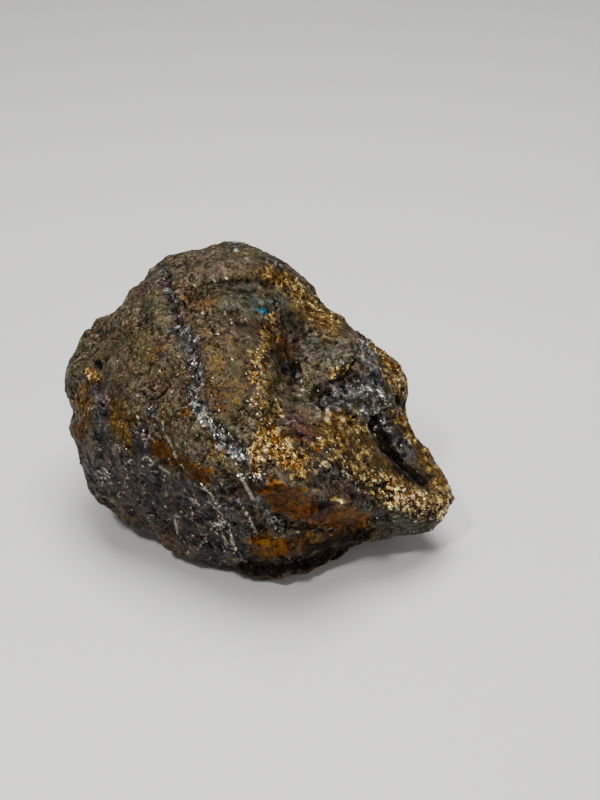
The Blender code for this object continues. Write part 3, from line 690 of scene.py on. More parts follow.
class Graph:
    """Adds nodes to one node tree and joins them."""

    def __init__(self, tree: bpy.types.NodeTree) -> None:
        """Keep the tree that is worked on."""
        self.tree = tree

    def add(
        self, kind: str, inputs: dict[str | int, Source] | None = None, **settings: object
    ) -> bpy.types.Node:
        """Add one node.

        Args:
            kind: The node's type.
            inputs: What each input takes: another node's socket, or a value.
            settings: The node's own options.

        Returns:
            The new node.
        """
        node = self.tree.nodes.new(kind)
        for name, value in settings.items():
            setattr(node, name, value)
        for name, source in (inputs or {}).items():
            self.feed(node.inputs[name], source)
        return node

    def feed(self, socket: bpy.types.NodeSocket, source: Source) -> None:
        """Link a socket to another one, or set its value.

        Args:
            socket: The socket that takes something.
            source: The socket that it is linked to, or the value.
        """
        if isinstance(source, bpy.types.NodeSocket):
            self.tree.links.new(source, socket)
        else:
            socket.default_value = source

    def math(self, operation: str, first: Source, second: Source = 0.0, clamp: bool = False) -> Source:
        """Combine two numbers by one operation and return the result's socket."""
        node = self.add("ShaderNodeMath", {0: first, 1: second}, operation=operation, use_clamp=clamp)
        return node.outputs[0]

    def sum(self, *terms: Source) -> bpy.types.NodeSocket:
        """Add up numbers.

        Args:
            terms: The numbers or their sockets.

        Returns:
            The result's socket.
        """
        total = terms[0]
        for term in terms[1:]:
            total = self.math("ADD", total, term)
        return total

    def times(self, first: Source, second: Source) -> bpy.types.NodeSocket:
        """Multiply two numbers and return the result's socket."""
        return self.math("MULTIPLY", first, second)

    def less(self, first: Source, second: Source) -> bpy.types.NodeSocket:
        """Subtract the second number from the first and return the result's socket."""
        return self.math("SUBTRACT", first, second)

    def vector(self, operation: str, first: Source, second: Source = (0.0, 0.0, 0.0)) -> Source:
        """Combine two vectors by one operation and return the result's socket."""
        return self.add("ShaderNodeVectorMath", {0: first, 1: second}, operation=operation).outputs[0]

    def scaled(self, vector: Source, factor: Source) -> bpy.types.NodeSocket:
        """Multiply a vector by a number.

        Args:
            vector: The vector or its socket.
            factor: The number or its socket.

        Returns:
            The result's socket.
        """
        node = self.add("ShaderNodeVectorMath", {0: vector}, operation="SCALE")
        self.feed(node.inputs["Scale"], factor)
        return node.outputs[0]

    def blend(self, share: Source, first: Source, second: Source, mode: str = "MIX") -> bpy.types.NodeSocket:
        """Mix two colours and return the result's socket.

        Args:
            share: How much of the second colour there is.
            first: The colour at share 0.
            second: The colour at share 1.
            mode: How the second colour is laid over the first.

        Returns:
            The mixed colour.
        """
        node = self.add("ShaderNodeMix", data_type="RGBA", blend_type=mode)
        for index, source in ((0, share), (6, first), (7, second)):
            value = (*source, 1.0) if isinstance(source, tuple) else source
            self.feed(node.inputs[index], value)
        return node.outputs[2]

    def between(self, share: Source, first: Source, second: Source) -> bpy.types.NodeSocket:
        """Mix two numbers and return the result's socket."""
        return self.add("ShaderNodeMix", {0: share, 2: first, 3: second}, data_type="FLOAT").outputs[0]

    def eased(self, value: Source, low: Source, high: Source) -> bpy.types.NodeSocket:
        """Ease a number from 0 at low to 1 at high and return the result's socket."""
        inputs = {"Value": value, "From Min": low, "From Max": high}
        return self.add("ShaderNodeMapRange", inputs, interpolation_type="SMOOTHSTEP").outputs["Result"]

    def attribute(self, name: str) -> bpy.types.NodeSocket:
        """Return the socket of a number painted on the mesh."""
        return self.add("ShaderNodeAttribute", attribute_name=name).outputs["Fac"]

    def noise(self, place: Source, size: float, detail: float = 3.0) -> bpy.types.Node:
        """Add soft noise with lumps of a size in mm and return its node."""
        inputs = {"Vector": place, "Scale": 1.0 / size, "Detail": detail}
        return self.add("ShaderNodeTexNoise", inputs)

    def cloud(self, place: Source, size: float, detail: float = 3.0) -> bpy.types.NodeSocket:
        """Return the socket of soft noise with lumps of a size in mm."""
        return self.noise(place, size, detail).outputs["Fac"]


def new_group(name: str, inputs: dict[str, str], outputs: dict[str, str]) -> tuple[bpy.types.NodeTree, Graph]:
    """Make an empty shader node group.

    Args:
        name: The group's name.
        inputs: Each input's name and socket type.
        outputs: Each output's name and socket type.

    Returns:
        The group and a graph to fill it with.
    """
    tree = bpy.data.node_groups.new(name, "ShaderNodeTree")
    for title, kind in inputs.items():
        tree.interface.new_socket(title, in_out="INPUT", socket_type=kind)
    for title, kind in outputs.items():
        tree.interface.new_socket(title, in_out="OUTPUT", socket_type=kind)
    return tree, Graph(tree)


class OreGroups:
    """The node groups that the stone's surface and its bright grains share."""

    def __init__(self) -> None:
        """Build each group once."""
        self.grains = self.grain_group()
        self.speckled = self.speckled_group()

    @staticmethod
    def grain_group() -> bpy.types.NodeTree:
        """Build crystal grains: cells with a tone, a second random number, a tilt and a dome.

        Returns:
            The group.
        """
        tree, graph = new_group(
            "ore_grains",
            {"Place": "NodeSocketVector", "Size": "NodeSocketFloat"},
            {
                "Tone": "NodeSocketFloat",
                "Choice": "NodeSocketFloat",
                "Tilt": "NodeSocketVector",
                "Dome": "NodeSocketFloat",
            },
        )
        given = graph.add("NodeGroupInput")
        scale = graph.math("DIVIDE", 1.0, given.outputs["Size"])
        cells = graph.add("ShaderNodeTexVoronoi", {"Vector": given.outputs["Place"], "Scale": scale})
        parts = graph.add("ShaderNodeSeparateColor", {0: cells.outputs["Color"]})
        tilt = graph.vector("SUBTRACT", cells.outputs["Color"], HALVES)
        result = graph.add("NodeGroupOutput")
        graph.feed(result.inputs["Tone"], parts.outputs[0])
        graph.feed(result.inputs["Choice"], parts.outputs[1])
        graph.feed(result.inputs["Tilt"], tilt)
        graph.feed(result.inputs["Dome"], graph.math("SUBTRACT", 1.0, cells.outputs["Distance"], clamp=True))
        return tree

    @staticmethod
    def speckled_group() -> bpy.types.NodeTree:
        """Build the edge of a zone: it breaks up into single grains as its share falls.

        Returns:
            The group.
        """
        tree, graph = new_group(
            "speckled_zone",
            {
                "Share": "NodeSocketFloat",
                "Grain": "NodeSocketFloat",
                "Cloud": "NodeSocketFloat",
                "Speckle": "NodeSocketFloat",
            },
            {"Zone": "NodeSocketFloat"},
        )
        given = graph.add("NodeGroupInput")
        grain = graph.less(given.outputs["Grain"], 0.5)
        cloud = graph.times(graph.less(given.outputs["Cloud"], 0.5), 1.3)
        broken = graph.times(grain, given.outputs["Speckle"])
        level = graph.sum(given.outputs["Share"], broken, cloud)
        width = graph.less(0.34, graph.times(given.outputs["Speckle"], 0.24))
        zone = graph.eased(level, graph.less(0.5, width), graph.sum(0.5, width))
        present = graph.eased(given.outputs["Share"], 0.02, 0.15)
        result = graph.add("NodeGroupOutput")
        graph.feed(result.inputs["Zone"], graph.times(zone, present))
        return tree


@dataclass
class Fields:
    """Values that vary over the surface and that the steps of the ore's finish share."""

    place: Source
    bent: Source
    fine: bpy.types.Node
    middle: bpy.types.Node
    coarse: bpy.types.Node
    mixed: Source
    blotches: Source
    tinted: Source
    even: Source


@dataclass
class Coat:
    """The colour, metal and roughness that the ore's finish has after a step."""

    colour: Source
    metallic: Source
    roughness: Source

    def covered(self, graph: Graph, mask: Source, upper: "Coat") -> "Coat":
        """Lay another coat over this one.

        Args:
            graph: The material's graph.
            mask: Where the upper coat is.
            upper: The coat that is laid on.

        Returns:
            The two coats as one.
        """
        return Coat(
            graph.blend(mask, self.colour, upper.colour),
            graph.between(mask, self.metallic, upper.metallic),
            graph.between(mask, self.roughness, upper.roughness),
        )


@dataclass
class OreFinish:
    """The tarnished ore: bronze-brown grains, with the other minerals' finishes laid over them, then painted
    glints, painted shade in the hollows and painted highlight on the ridges.
    """

    groups: OreGroups
    base: Finish = BASE
    finishes: tuple[Finish, ...] = FINISHES
    fine_grain: float = 0.32
    middle_grain: float = 0.62
    coarse_grain: float = 1.5
    grain_lean_deg: float = 38.0
    grain_stretch: Point = (1.0, 1.0, 0.55)
    wander_size: float = 1.1
    wander_reach: float = 0.8
    mix_size: float = 1.6
    blotch_size: float = 4.0
    tint_size: float = 2.6
    far_hue_size: float = 6.5
    evenness: float = 0.60
    even_tone: float = 0.46
    fine_share: float = 0.42
    middle_share: float = 0.24
    coarse_share: float = 0.08
    mix_share: float = 0.9
    blotch_share: float = 0.7
    tone_lift: float = 0.09
    plain_power: float = 1.7
    vivid_power: float = 3.6
    vivid_lift: float = 0.06
    vivid_mix: float = 1.1
    far_hue: float = 0.7
    near_hue: float = 0.14
    mineral_hue: float = 0.3
    mineral_hue_share: float = 0.6
    bare_loss: float = 0.52
    # The glints are painted highlights: grains made several times lighter and paler.
    glint_chance: float = 0.008
    glint_share: float = 0.20
    glint_gain: Colour = (4.5, 4.2, 3.6)
    glint_colour: Colour = (1.00, 0.93, 0.72)
    glint_tint: float = 0.32
    glint_metallic: float = 0.8
    glint_roughness: float = 0.28
    # Painted shade in the hollows and painted highlight on the ridges.
    hollow_shade: float = 0.85
    ridge_light: float = 0.55
    tilt: float = 0.90
    bump_size: float = 0.45
    bump_depth: float = 0.22

    def grains(self, graph: Graph, place: Source, size: float) -> bpy.types.Node:
        """Place the grain group.

        Args:
            graph: The material's graph.
            place: Where the grains are read, in mm.
            size: The size of a grain in mm.

        Returns:
            The group's node.
        """
        node = graph.add("ShaderNodeGroup", node_tree=self.groups.grains)
        graph.feed(node.inputs["Place"], place)
        graph.feed(node.inputs["Size"], size)
        return node

    @staticmethod
    def shifted(graph: Graph, place: Source, shift: Point) -> Source:
        """Return places moved by a fixed shift, so that two noises of them differ."""
        return graph.vector("ADD", place, shift)

    def fields(self, graph: Graph) -> Fields:
        """Lay out the grains and clouds that the finish reads.

        Args:
            graph: The material's graph.

        Returns:
            Their sockets and nodes.
        """
        place = graph.scaled(graph.add("ShaderNodeTexCoord").outputs["Object"], 1.0 / MM)
        wander = graph.noise(place, self.wander_size, 2.0).outputs["Color"]
        drift = graph.scaled(graph.vector("SUBTRACT", wander, HALVES), self.wander_reach)
        bent = graph.vector("ADD", place, drift)
        turn = {"Vector": bent, "Axis": (0.0, 1.0, 0.0), "Angle": math.radians(self.grain_lean_deg)}
        turned = graph.add("ShaderNodeVectorRotate", turn).outputs["Vector"]
        drawn_out = graph.vector("MULTIPLY", turned, self.grain_stretch)
        tinted = graph.cloud(self.shifted(graph, place, (31.0, 7.0, 19.0)), self.tint_size, 3.0)
        return Fields(
            place=place,
            bent=bent,
            fine=self.grains(graph, drawn_out, self.fine_grain),
            middle=self.grains(graph, drawn_out, self.middle_grain),
            coarse=self.grains(graph, bent, self.coarse_grain),
            mixed=graph.cloud(place, self.mix_size, 4.0),
            blotches=graph.cloud(self.shifted(graph, place, (5.0, 43.0, 11.0)), self.blotch_size, 4.0),
            tinted=graph.eased(tinted, 0.40, 0.62),
            even=graph.times(graph.attribute(Mineral.EVEN.value), self.evenness),
        )

    def tone(self, graph: Graph, fields: Fields) -> Source:
        """Work out how light each grain is.

        Args:
            graph: The material's graph.
            fields: The grains and clouds.

        Returns:
            0 for the darkest grains, 1 for the lightest; few are light where the ore is rich.
        """
        tone = graph.sum(
            graph.times(fields.fine.outputs["Tone"], self.fine_share),
            graph.times(fields.middle.outputs["Tone"], self.middle_share),
            graph.times(fields.coarse.outputs["Tone"], self.coarse_share),
            graph.times(graph.less(fields.mixed, 0.5), self.mix_share),
            graph.times(graph.less(fields.blotches, 0.5), self.blotch_share),
            self.tone_lift,
        )
        tone = graph.less(tone, graph.times(fields.even, graph.less(tone, self.even_tone)))
        plain = graph.math("POWER", graph.math("MAXIMUM", tone, 0.0), self.plain_power, clamp=True)
        clustered = graph.times(graph.less(fields.mixed, 0.5), self.vivid_mix)
        clustered = graph.sum(tone, self.vivid_lift, clustered)
        vivid = graph.math("POWER", graph.math("MAXIMUM", clustered, 0.0), self.vivid_power, clamp=True)
        tone = graph.between(graph.attribute("rich"), plain, vivid)
        return graph.math("MAXIMUM", tone, graph.attribute("lift"))

    @staticmethod
    def streaked(graph: Graph, fields: Fields, tone: Source) -> Source:
        """Draw the tone out into upright streaks, for the smooth earth.

        Args:
            graph: The material's graph.
            fields: The grains and clouds.
            tone: How light each grain is.

        Returns:
            0 for the darkest streaks, 1 for the lightest.
        """
        streaks = graph.cloud(graph.vector("MULTIPLY", fields.bent, (1.0, 1.0, 0.30)), 0.9, 4.0)
        level = graph.sum(
            graph.times(streaks, 2.0), graph.times(tone, 0.40), graph.times(fields.blotches, 1.4), -1.42
        )
        return graph.math("MAXIMUM", level, 0.0, clamp=True)

    @staticmethod
    def ramp(graph: Graph, finish: Finish, tone: Source, tinted: Source) -> Source:
        """Colour a mineral's grains by their tone.

        Args:
            graph: The material's graph.
            finish: The mineral's look.
            tone: 0 for the darkest grains, 1 for the lightest.
            tinted: How far the light grains drift to the tint.

        Returns:
            The colour, by way of the middle one where the finish has it.
        """
        light = graph.blend(tinted, finish.light, finish.tint)
        if finish.middle is None:
            return graph.blend(tone, finish.dark, light)
        lower = graph.blend(graph.eased(tone, 0.0, 0.35), finish.dark, finish.middle)
        return graph.blend(graph.eased(tone, 0.20, 0.90), lower, light)

    @staticmethod
    def drifted(graph: Graph, colour: Source, hue: Source, share: float = 1.0) -> Source:
        """Return a colour that is stronger in some channels and weaker in others, by a share of hue."""
        return graph.blend(share, colour, graph.vector("ADD", hue, (1.0, 1.0, 1.0)), "MULTIPLY")

    def bare(self, graph: Graph, fields: Fields, tone: Source, own_hue: Source) -> Source:
        """Colour the bronze-brown tarnish that the other minerals lie on.

        Args:
            graph: The material's graph.
            fields: The grains and clouds.
            tone: How light each grain is.
            own_hue: Each grain's own drift in hue.

        Returns:
            The colour, darker between the grains of rich ore.
        """
        colour = self.ramp(graph, self.base, tone, fields.tinted)
        clouds = graph.noise(fields.place, self.far_hue_size, 3.0).outputs["Color"]
        wide_hue = graph.scaled(graph.vector("SUBTRACT", clouds, HALVES), self.far_hue)
        hue = graph.vector("ADD", wide_hue, graph.scaled(own_hue, self.near_hue))
        left = graph.less(1.0, graph.times(graph.attribute("rich"), self.bare_loss))
        return graph.scaled(self.drifted(graph, colour, hue), left)

    @staticmethod
    def hairlines(graph: Graph, place: Source) -> Source:
        """Draw fine, broken pale lines over the dark slate.

        Args:
            graph: The material's graph.
            place: Places in mm.

        Returns:
            Their mask.
        """
        near = graph.math("ABSOLUTE", graph.less(graph.cloud(place, 6.0, 2.5), 0.5))
        line = graph.less(1.0, graph.eased(near, 0.004, 0.017))
        broken = graph.eased(graph.cloud(place, 2.4, 2.0), 0.48, 0.60)
        slate = graph.eased(graph.attribute(Mineral.SLATE.value), 0.3, 0.8)
        lit = graph.less(1.0, graph.attribute(Mineral.DARK.value))
        return graph.times(graph.times(graph.times(line, broken), slate), lit)

    def mask(self, graph: Graph, fields: Fields, finish: Finish) -> Source:
        """Find where one mineral shows, with an edge that breaks up into grains.

        Args:
            graph: The material's graph.
            fields: The grains and clouds.
            finish: The mineral's look.

        Returns:
            Its mask.
        """
        chooser = fields.middle if finish.speckle > 0.4 else fields.coarse
        node = graph.add("ShaderNodeGroup", node_tree=self.groups.speckled)
        graph.feed(node.inputs["Share"], graph.attribute(finish.mineral.value))
        graph.feed(node.inputs["Grain"], chooser.outputs["Choice"])
        graph.feed(node.inputs["Cloud"], fields.mixed)
        graph.feed(node.inputs["Speckle"], finish.speckle)
        mask = node.outputs["Zone"]
        if finish.mineral is Mineral.PALE:
            mask = graph.math("MAXIMUM", mask, self.hairlines(graph, fields.place))
        return mask

    def glints(self, graph: Graph, fields: Fields, smooth: Source, coat: Coat) -> Coat:
        """Make single grains flash with a painted highlight: a few anywhere, many where the glint is painted.

        Args:
            graph: The material's graph.
            fields: The grains and clouds.
            smooth: Where the surface is smooth and nothing flashes.
            coat: The finish so far.

        Returns:
            The finish with the glints.
        """
        share = graph.times(graph.attribute(Mineral.GLINT.value), self.glint_share)
        level = graph.less(1.0 - self.glint_chance, share)
        bright = graph.math("GREATER_THAN", fields.fine.outputs["Choice"], level)
        bright = graph.times(bright, graph.less(1.0, smooth))
        bright = graph.times(bright, graph.less(1.0, graph.attribute(Mineral.DARK.value)))
        # Painted highlight: the grain's colour made several times lighter and paler.
        lit = graph.blend(1.0, coat.colour, self.glint_gain, "MULTIPLY")
        lit = graph.blend(self.glint_tint, lit, self.glint_colour)
        return coat.covered(graph, bright, Coat(lit, self.glint_metallic, self.glint_roughness))

    def shaded(self, graph: Graph, colour: Source) -> Source:
        """Darken the hollows with painted shade, and lighten the ridges with a painted highlight.

        Args:
            graph: The material's graph.
            colour: The colour so far.

        Returns:
            The final colour.
        """
        shade = graph.less(1.0, graph.times(graph.attribute("hollow"), self.hollow_shade))
        shade = graph.sum(shade, graph.times(graph.attribute("ridge"), self.ridge_light))
        return graph.scaled(colour, shade)

    def normal(self, graph: Graph, fields: Fields, smooth: Source) -> Source:
        """Tilt each grain's face its own way and raise a fine bump.

        Args:
            graph: The material's graph.
            fields: The grains and clouds.
            smooth: Where the grains lie nearly flat.

        Returns:
            The direction that the surface faces.
        """
        true = graph.add("ShaderNodeNewGeometry").outputs["Normal"]
        calm = graph.less(1.0, graph.times(smooth, 0.8))
        wide_tilt = graph.scaled(fields.middle.outputs["Tilt"], 0.7)
        tilt = graph.vector("ADD", fields.fine.outputs["Tilt"], wide_tilt)
        tilt = graph.scaled(tilt, graph.times(calm, self.tilt))
        tilted = graph.vector("NORMALIZE", graph.vector("ADD", true, tilt))
        domes = graph.times(fields.middle.outputs["Dome"], 0.6)
        height = graph.sum(domes, graph.cloud(fields.place, self.bump_size, 4.0))
        inputs = {"Strength": 0.8, "Distance": self.bump_depth * MM, "Height": height, "Normal": tilted}
        return graph.add("ShaderNodeBump", inputs).outputs["Normal"]

    def build(self) -> bpy.types.Material:
        """Build the material.

        Returns:
            The material, which reads the shares painted on the mesh.
        """
        material = bpy.data.materials.new("tarnished_ore")
        material.use_nodes = True
        material.node_tree.nodes.clear()
        graph = Graph(material.node_tree)
        fields = self.fields(graph)
        tone = self.tone(graph, fields)
        tones = {Mineral.EARTH: self.streaked(graph, fields, tone)}
        own_hue = graph.vector("ADD", fields.fine.outputs["Tilt"], fields.middle.outputs["Tilt"])
        own_hue = graph.scaled(own_hue, graph.less(1.0, fields.even))
        coat = Coat(self.bare(graph, fields, tone, own_hue), self.base.metallic, self.base.roughness)
        smooth: Source = 0.0
        for finish in self.finishes:
            mask = self.mask(graph, fields, finish)
            colour = self.ramp(graph, finish, tones.get(finish.mineral, tone), fields.tinted)
            hue = graph.scaled(own_hue, self.mineral_hue)
            colour = self.drifted(graph, colour, hue, self.mineral_hue_share)
            coat = coat.covered(graph, mask, Coat(colour, finish.metallic, finish.roughness))
            if finish.mineral is Mineral.EARTH:
                smooth = mask
        coat = self.glints(graph, fields, smooth, coat)
        shader = graph.add(
            "ShaderNodeBsdfPrincipled",
            {
                "Base Color": self.shaded(graph, coat.colour),
                "Metallic": coat.metallic,
                "Roughness": coat.roughness,
                "Normal": self.normal(graph, fields, smooth),
                "Specular IOR Level": 0.05,
            },
        )
        output = graph.add("ShaderNodeOutputMaterial")
        graph.feed(output.inputs["Surface"], shader.outputs["BSDF"])
        return material


def keep_layers(mesh: bpy.types.Mesh, layers: dict[str, np.ndarray]) -> None:
    """Store numbers on a mesh's points, for its material to read.

    Args:
        mesh: The mesh that is painted.
        layers: The numbers for each name, one a point.
    """
    for name, values in layers.items():
        attribute = mesh.attributes.new(name, "FLOAT", "POINT")
        attribute.data.foreach_set("value", values.astype(np.float32))


@dataclass
class StoneSurface:
    """The stone's whole outer surface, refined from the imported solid."""

    markings: Markings
    reliefs: tuple[Relief, ...] = RELIEFS
    cracks: tuple[Line, ...] = CRACKS
    ridges: tuple[Line, ...] = RIDGES
    merge_gap: float = 0.002
    voxel: float = 0.54
    melt_rounds: int = 2
    still_height: float = 0.5
    free_height: float = 2.6
    calming: float = 0.7
    plain_grain: float = 0.20
    rich_grain: float = 0.60
    broken_size: float = 9.0
    wobble: float = 0.45
    wobble_size: float = 1.8
    line_edge: float = 1.2
    crease_gap: float = 2.4
    crease_stretch: float = 2.6
    crease_lean_deg: float = 28.0
    crease_depth: float = 0.85
    fading_size: float = 7.0
    weight_steps: int = 64
    settled_height: float = 0.15
    near_rounds: int = 3
    near_depth: float = 0.16
    wide_rounds: int = 30
    wide_depth: float = 0.7

    def copied(self) -> bpy.types.Object:
        """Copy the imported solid's mesh, with its loose triangles merged.

        Returns:
            The new object.
        """
        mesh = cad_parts[SOLID].data.copy()
        piece = bpy.data.objects.new("stone_surface", mesh)
        bpy.context.collection.objects.link(piece)
        lone(piece)
        bpy.ops.object.mode_set(mode="EDIT")
        bpy.ops.mesh.select_all(action="SELECT")
        bpy.ops.mesh.remove_doubles(threshold=self.merge_gap * MM)
        bpy.ops.object.mode_set(mode="OBJECT")
        return piece

    def refine(self, piece: bpy.types.Object) -> None:
        """Rebuild the surface from small even faces and soften the solid's flat ones.

        Args:
            piece: The copied solid.
        """
        even = piece.modifiers.new("even_faces", "REMESH")
        even.mode = "VOXEL"
        even.voxel_size = self.voxel * MM
        soft = piece.modifiers.new("melt_facets", "SMOOTH")
        soft.factor = 0.5
        soft.iterations = self.melt_rounds
        for modifier in (even.name, soft.name):
            bpy.ops.object.modifier_apply(modifier=modifier)

    def weigh(self, piece: bpy.types.Object) -> None:
        """Mark where each kind of relief is felt, with none on the resting face.

        Args:
            piece: The refined surface.
        """
        skin = Skin(piece.data)
        facing = self.markings.facing(skin)
        masks = self.markings.masks(skin.places, facing)
        free = smoothstep(self.still_height, self.free_height, skin.places[:, 2])
        calm = np.maximum.reduce([masks[Mineral.EARTH], 0.5 * masks[Mineral.RUST], 0.8 * masks[Mineral.EVEN]])
        body = free * (1.0 - self.calming * calm)
        granular = body * (self.plain_grain + self.rich_grain * self.markings.rich(masks))
        patchy = smoothstep(-0.15, 0.35, rough_noise(skin.places, self.broken_size, 4.4))
        broken = body * np.maximum(patchy, masks[Mineral.SLATE])
        front = self.markings.frontness(facing) * free
        cracks = front * self.drawn(skin.places, self.cracks)
        cracks = np.maximum(cracks, self.crease_depth * body * self.creases(skin.places))
        ridges = front * self.drawn(skin.places, self.ridges)
        for name, weights in (("body", body), ("granular", granular), ("broken", broken)):
            self.keep_weights(piece, name, weights)
        for mark, weights in ((Mark.CRACK, cracks), (Mark.RIDGE, ridges)):
            self.keep_weights(piece, mark.name, weights)

    def drawn(self, places: np.ndarray, lines: tuple[Line, ...]) -> np.ndarray:
        """Draw the cracks or the ridges of the front.

        Args:
            places: Points on the stone in mm, one a row.
            lines: The cracks or the ridges.

        Returns:
            How deep or high the lines are at each point, in mm.
        """
        seen = self.markings.view.seen(places)
        wobble = self.wobble * rough_noise(places, self.wobble_size, 8.8)
        depths = np.zeros(len(places))
        for line in lines:
            gap = gap_to_path(seen, line.path) / line.spread + wobble
            depths = np.maximum(depths, line.depth * (1.0 - smoothstep(0.0, self.line_edge, gap)))
        return depths

    def creases(self, places: np.ndarray) -> np.ndarray:
        """Lay thin creases over the stone that run down to the right, as seen from in front.

        Args:
            places: Points on the stone in mm, one a row.

        Returns:
            For each point, 1 in the middle of a crease and 0 away from it.
        """
        right, up, out = self.markings.view.axes()
        lean = math.radians(self.crease_lean_deg)
        along = places @ (math.cos(lean) * right - math.sin(lean) * up)
        across = places @ (math.sin(lean) * right + math.cos(lean) * up)
        drawn_out = np.stack((along / self.crease_stretch, across, places @ out), axis=1)
        near = np.abs(rough_noise(drawn_out, self.crease_gap, 6.1, 3))
        fading = smoothstep(-0.25, 0.30, rough_noise(places, self.fading_size, 2.2))
        return fading * (1.0 - smoothstep(0.02, 0.20, near))

    def keep_weights(self, piece: bpy.types.Object, name: str, weights: np.ndarray) -> None:
        """Store one number a point as a vertex group.

        Args:
            piece: The object that gets the group.
            name: The group's name.
            weights: One number a point, between 0 and 1.
        """
        group = piece.vertex_groups.new(name=name)
        steps = np.round(weights * self.weight_steps).astype(int)
        for step in np.unique(steps[steps > 0]).tolist():
            group.add(np.nonzero(steps == step)[0].tolist(), step / self.weight_steps, "REPLACE")

    def roughen(self, piece: bpy.types.Object) -> None:
        """Press the layers of relief, the cracks and the low ridges into the surface.

        Args:
            piece: The weighed surface.
        """
        for relief in self.reliefs:
            texture = bpy.data.textures.new(relief.name, relief.texture)
            texture.noise_scale = relief.size * MM
            if relief.texture == "CLOUDS":
                texture.noise_depth = 2
            else:
                texture.distance_metric = "DISTANCE_SQUARED"
            push = piece.modifiers.new(relief.name, "DISPLACE")
            push.texture = texture
            push.texture_coords = "LOCAL"
            push.strength = relief.depth * MM
            push.mid_level = 0.5 if relief.texture == "CLOUDS" else 0.35
            push.vertex_group = relief.group
        for mark in Mark:
            push = piece.modifiers.new(mark.name, "DISPLACE")
            push.strength = mark.value * MM
            push.mid_level = 0.0
            push.vertex_group = mark.name
        for modifier in [modifier.name for modifier in piece.modifiers]:
            bpy.ops.object.modifier_apply(modifier=modifier)

    def settle(self, piece: bpy.types.Object) -> None:
        """Keep every point on or above the surface that the stone rests on.

        Args:
            piece: The roughened surface.
        """
        places = np.empty(len(piece.data.vertices) * 3, dtype=np.float32)
        piece.data.vertices.foreach_get("co", places)
        heights = places[2::3]
        heights[heights < self.settled_height * MM] = 0.0
        piece.data.vertices.foreach_set("co", places)
        piece.data.update()

    def paint(self, piece: bpy.types.Object) -> None:
        """Store each mineral's share on the mesh, and the hollows and ridges for painted shade and painted
        highlight.

        Args:
            piece: The settled surface.
        """
        skin = Skin(piece.data)
        masks = self.markings.masks(skin.places, self.markings.facing(skin))
        near = skin.hollowness(self.near_rounds, self.near_depth)
        wide = skin.hollowness(self.wide_rounds, self.wide_depth)
        curve = np.clip(0.6 * near + 0.7 * wide, -1.0, 1.0)
        layers = {mineral.value: share for mineral, share in masks.items()}
        layers["rich"] = self.markings.rich(masks)
        # The hollows get painted shade and the ridges a painted highlight.
        layers["hollow"] = smoothstep(0.05, 0.9, curve)
        layers["ridge"] = smoothstep(0.05, 0.9, -curve)
        keep_layers(piece.data, layers)

    def build(self, material: bpy.types.Material) -> bpy.types.Object:
        """Make the whole surface.

        Args:
            material: The ore's finish.

        Returns:
            The finished piece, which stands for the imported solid.
        """
        piece = self.copied()
        self.refine(piece)
        self.weigh(piece)
        self.roughen(piece)
        self.settle(piece)
        self.paint(piece)
        lone(piece)
        bpy.ops.object.shade_smooth()
        piece.vertex_groups.clear()
        piece.data.materials.clear()
        piece.data.materials.append(material)
        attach(piece, BODY)
        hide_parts(SOLID)
        return piece


